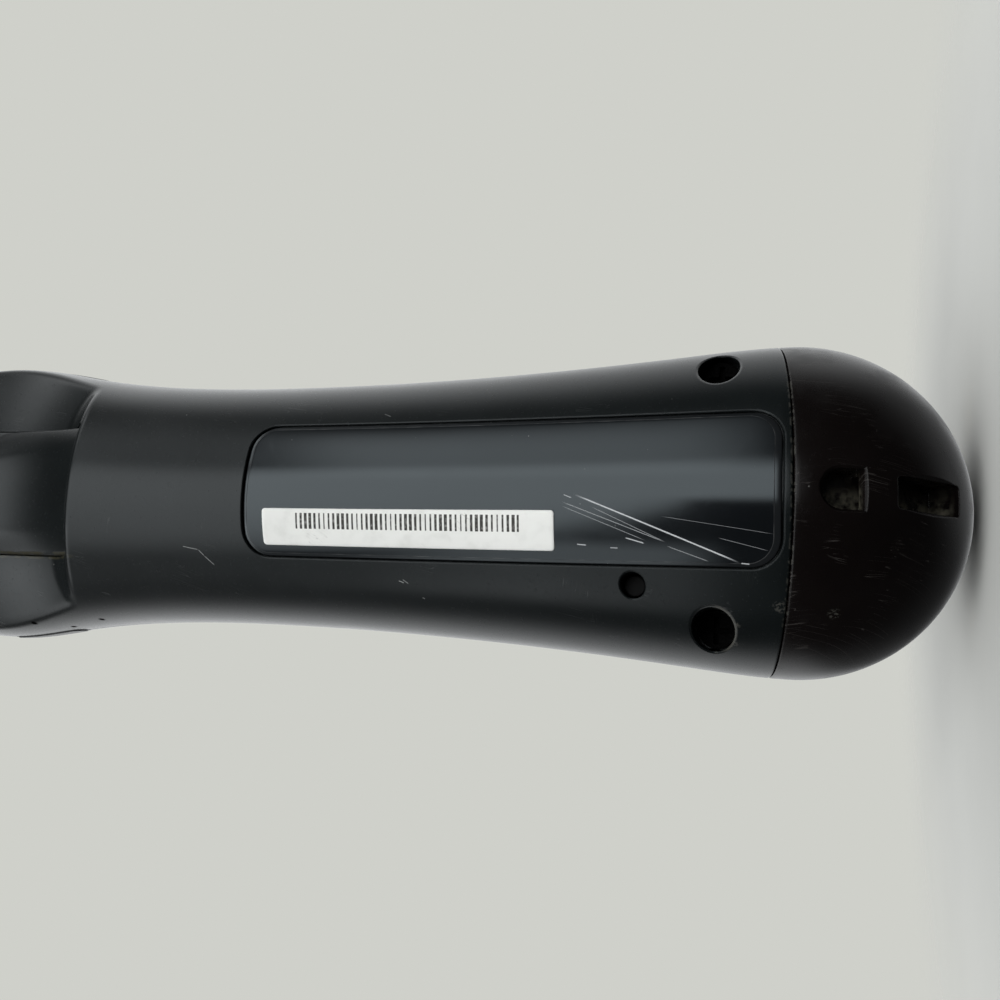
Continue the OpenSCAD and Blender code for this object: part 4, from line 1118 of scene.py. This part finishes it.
def board(name):
    """A printed board: green mask, darker lines where tracks run, and small tinned pads."""
    finish = Finish(name, (0.012, 0.10, 0.045), 0.32)
    edges = finish.round_edges(0.08)
    first = finish.hairlines(0, 1.1, 0.10, 0.02, 0.7, 1.0)
    tracks = finish.either(first, finish.hairlines(90, 1.1, 0.10, 0.02, 0.6, 4.0))
    finish.tint(tracks, (0.02, 0.19, 0.075))
    pads = finish.specks(0.6, 0.2, 0.35)
    finish.tint(pads, (0.62, 0.60, 0.55))
    finish.tint(edges, (0.30, 0.27, 0.14))
    finish.raise_by(finish.either(tracks, pads), 0.03)
    return finish.done()


def ribbon(name):
    """Amber film with fine copper lines along it."""
    finish = Finish(name, (0.42, 0.20, 0.035), 0.3)
    wires = finish.band(finish.math("PINGPONG", finish.at["X"], 0.4), 0.16, 0.22)
    finish.tint(finish.both(wires, 0.7), (0.55, 0.24, 0.08))
    finish.soften(finish.clouds((0.4, 0.7), 0.8, 3), 0.42)
    finish.raise_by(wires, 0.02)
    return finish.done()


def wrapped_cell(name):
    """A flat cell in a thin wrap, with creases and a taped end."""
    finish = Finish(name, (0.10, 0.13, 0.20), 0.35, Metallic=0.55)
    finish.soften(finish.clouds((0.4, 0.7), 0.35, 4, (1, 1, 0.3)), 0.5)
    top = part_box("battery")[1].z / MM
    tape = finish.past("Z", top - 4.0, top - 3.8)
    finish.tint(tape, (0.40, 0.28, 0.04))
    finish.raise_by(finish.noise(0.6, 3, (1, 1, 0.4), shift=3), 0.05)
    return finish.done()


def inner(*how, **named):
    """Plain moulded plastic or rubber that gathers no dust."""
    return moulded(*how, dust=0, **named).done()


INNER = {
    "steel": lambda: metal("bright_steel", (0.56, 0.56, 0.57), 0.3, (1, 1, 0.1)),
    "screw": lambda: metal("blacked_screw", (0.004, 0.004, 0.004), 0.6),
    "weight": lambda: metal("sintered_weight", (0.40, 0.38, 0.36), 0.5),
    "gold": lambda: metal("plated_contact", (0.75, 0.55, 0.24), 0.28),
    "black_rubber": lambda: moulded("black_rubber", (0.02, 0.02, 0.021), 0.7, wear=0.1).done(),
    "grey_rubber": lambda: inner("grey_silicone", (0.33, 0.34, 0.36), 0.6, wear=0.1),
    "clear_plastic": lambda: inner("milky_pipe", (0.62, 0.62, 0.58), 0.25, wear=0.1),
    "button": lambda: inner("reset_plastic", (0.003, 0.003, 0.003), 0.5, shine=0.05),
    "chip": lambda: inner("chip_black", (0.025, 0.025, 0.025), 0.55, edge=0.1),
    "board": lambda: board("printed_board"),
    "ribbon": lambda: ribbon("amber_ribbon"),
    "battery": lambda: wrapped_cell("wrapped_cell"),
    "inner_plastic": lambda: inner("inner_plastic", (0.055, 0.055, 0.057), 0.5, edge=0.1),
    "lead": lambda: inner("lead_sleeve", (0.33, 0.02, 0.02), 0.45, wear=0.1),
}


# Stage, light and camera
BACKGROUND = (0.624, 0.631, 0.591)
FLOOR = (0.62, 0.62, 0.59)
FLOOR_R, FLOOR_GAP = 400.0 * MM, 0.2 * MM


def table_light(sky, x, y, z):
    """A bright table beyond the wand, dimmer underneath and low on one side."""
    low = sky.both(sky.band(z, 0.05, -0.3), sky.band(x, 0.3, -0.3))
    beyond = sky.math("ADD", y, sky.math("MULTIPLY", x, 0.2))
    under = sky.band(z, -0.15, -0.6, 1.0, 0.3)
    return sky.both(sky.band(beyond, 0.0, 0.55), sky.band(low, 0.0, 1.0, 1.0, 0.15), under, 0.95)


def window_light(sky, turn, y, z):
    """A soft window on the trigger side, brightest in its middle."""
    slant = sky.math("ADD", turn, sky.math("MULTIPLY", z, 5.25))
    open_side = sky.either(sky.band(turn, -0.04, 0.08), sky.band(slant, 1.35, 1.65))
    front = sky.both(sky.band(y, -0.1, -0.35), sky.band(z, -0.12, 0.06), sky.band(z, 0.84, 0.71), open_side)
    core = sky.both(sky.band(turn, -1.8, 0.1), sky.band(turn, 0.62, 0.34), 3.2)
    near_side = sky.both(sky.band(turn, 2.6, 0.8), sky.band(turn, 0.3, 0.55))
    side = sky.both(near_side, sky.band(z, 0.55, 0.48), sky.band(z, 0.0, 0.34), 2.15)
    return sky.both(front, sky.math("ADD", core, side))


def side_lights(sky, turn, y, z):
    """Three smaller panes to the right, to the left and low on the left."""

    def pane(edge, low, high, level):
        return sky.both(sky.band(turn, *edge), sky.band(z, *low), sky.band(z, *high), level)

    right = pane((0.5, 0.9), (0.585, 0.635), (0.75, 0.68), 2.4)
    left = pane((-0.3, -0.6), (0.60, 0.66), (0.86, 0.78), 1.9)
    low_left = pane((-0.45, -0.8), (0.20, 0.30), (0.5, 0.4), 1.7)
    return sky.both(sky.total(right, left, low_left), sky.band(y, 0.05, -0.2))


def world():
    """Soft light from a table, a window and a faint haze above, behind a plain pale backdrop."""
    made = bpy.data.worlds.new("studio")
    made.use_nodes = True
    bpy.context.scene.world = made
    made.node_tree.nodes.clear()
    sky = Nodes(made.node_tree)
    at = sky.axes(sky.node("ShaderNodeTexCoord").outputs["Generated"])
    x, y, z = at["X"], at["Y"], at["Z"]
    ahead = sky.math("MAXIMUM", sky.math("MULTIPLY", y, -1.0), 0.05)
    turn = sky.math("DIVIDE", x, ahead)
    haze = sky.both(sky.band(z, 0.15, 0.5, 0.04, 0.25), sky.band(z, 0.92, 0.72, 0.2, 1.0))
    lights = [table_light(sky, x, y, z), window_light(sky, turn, y, z), side_lights(sky, turn, y, z), haze]
    level = sky.total(*lights)
    light = sky.node("ShaderNodeBackground", {"Color": (0.97, 0.99, 1.0, 1), "Strength": level})
    plain = sky.node("ShaderNodeBackground", {"Color": (*BACKGROUND, 1), "Strength": 1.0})
    seen = sky.node("ShaderNodeLightPath").outputs["Is Camera Ray"]
    mix = sky.node("ShaderNodeMixShader", {0: seen, 1: light.outputs[0], 2: plain.outputs[0]})
    sky.node("ShaderNodeOutputWorld", {"Surface": mix.outputs[0]})


def floor():
    """A pale round floor under the end cap, fading out into the surroundings."""
    mesh = bpy.data.meshes.new("floor")
    bm = bmesh.new()
    bmesh.ops.create_circle(bm, cap_ends=True, segments=96, radius=FLOOR_R)
    bm.to_mesh(mesh)
    bm.free()
    disc = placed("floor", mesh)
    disc.location.z = -FLOOR_GAP
    finish = Finish("pale_floor", FLOOR, 0.9)
    finish.tint(finish.clouds((0.3, 0.7), 0.05, 4), tuple(c * 1.03 for c in FLOOR))
    near = finish.band(finish.vector("LENGTH", finish.place), 90, 30)
    seen = finish.node("ShaderNodeLightPath").outputs["Is Camera Ray"]
    finish.feed(finish.shader.inputs["Alpha"], finish.both(near, seen))
    mesh.materials.append(finish.done())


def camera():
    """The photograph's view: close to the lower back of the grip, turned so that the axis lies across."""
    eye = Vector((-16.03, -115.49, 18.05)) * MM
    right = Vector((0.05431, 0.29758, -0.95315))
    up = Vector((0.98853, -0.15073, 0.00927))
    back = right.cross(up)
    data = bpy.data.cameras.new("camera")
    data.sensor_width = 36.0
    data.lens = 34.2
    data.clip_start = 0.005
    made = placed("camera", data)
    turn = Matrix((right, up, back)).transposed().to_4x4()
    made.matrix_world = Matrix.Translation(eye) @ turn
    bpy.context.scene.camera = made


# Dressing the part
def dress(piece, finish, body, node):
    """Gives a piece its finish, sets it on the body it rides on and hides the solid it stands for."""
    piece.data.materials.clear()
    piece.data.materials.append(finish)
    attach(piece, body)
    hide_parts(node)


def dress_grip():
    """The shells, cap, collar, ball and labels, which all ride on the grip."""
    shell = shell_plastic("shell_plastic").done()
    collar = moulded("collar_plastic", (0.016, 0.0165, 0.017), 0.36).done()
    dress(rear_shell(), rear_plastic(), "grip", "rear_shell")
    dress(front_shell(), shell, "grip", "front_shell")
    dress(end_cap(), cap_plastic_hand_shaded(), "grip", "end_cap")
    dress(neck_collar(), collar, "grip", "neck_collar")
    dress(ball(), ball_rubber(), "grip", "ball")
    dress(label_plate(), label_gloss(), "grip", "label_plate")
    dress(sticker(), sticker_paper(), "grip", "sticker")
    dress(trigger(), trigger_plastic(), "trigger", "trigger")


def press(node, outline, place, half, high, edge, finish, sag=0.0, lug=FLANGE, slot="button"):
    """Makes a push button and dresses it."""
    top = button(node + "_top", outline, place, half, high, edge, sag, lug)
    dress(top, finish, node, node)


def dress_buttons():
    smooth_keys = moulded("main_button_plastic", (0.017, 0.017, 0.018), 0.28, grain=0.001).done()
    keys = moulded("button_plastic", (0.02, 0.02, 0.021), 0.38).done()
    main_key, home_key = oval(MAIN_W, MAIN_H, MAIN_Z), oval(HOME_D, HOME_D, HOME_Z)
    how = (MAIN_EDGE, smooth_keys, MAIN_CROWN)
    press("main_button", main_key, on_skin(1), MAIN_W / 2, PROUD, *how, slot="main_button")
    corners = {"a": (1, 1), "b": (1, -1), "c": (-1, -1), "d": (-1, 1)}
    for letter, (sx, sz) in corners.items():
        key = oval(FACE_D, FACE_D, MAIN_Z + sz * FACE_DZ)
        place = on_skin(1, sx * FACE_X)
        press(f"face_button_{letter}", key, place, FACE_D / 2, PROUD, FACE_EDGE, keys, lug=0.0)
    press("home_button", home_key, on_skin(1), HOME_D / 2, -HOME_SUNK, HOME_EDGE, smooth_keys)
    for node, facing in (("select_button", 1), ("start_button", -1)):
        press(node, slot_outline(0), on_side(facing), SIDE_W / 2, SIDE_PROUD, SIDE_EDGE, keys)


def dress_inside():
    """Better finishes for the solids that keep their own shape."""
    slots = {part["node"]: part["material_slot"] for part in frame["record"]["subparts"]}
    made = {}
    for name, item in frame["nodes"].items():
        kind = slots.get(name)
        if kind in INNER:
            if kind not in made:
                made[kind] = INNER[kind]()
            for place in item.material_slots:
                place.material = made[kind]
    return made


def dress_spring(steel):
    """The spring twists between the case and the trigger."""
    wire = spring()
    wire.data.materials.append(steel)
    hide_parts("trigger_spring")
    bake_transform(wire)


def main():
    bpy.context.scene.view_settings.view_transform = "Standard"
    camera()
    world()
    floor()
    dress_grip()
    dress_buttons()
    finishes = dress_inside()
    dress_spring(finishes["steel"])


main()
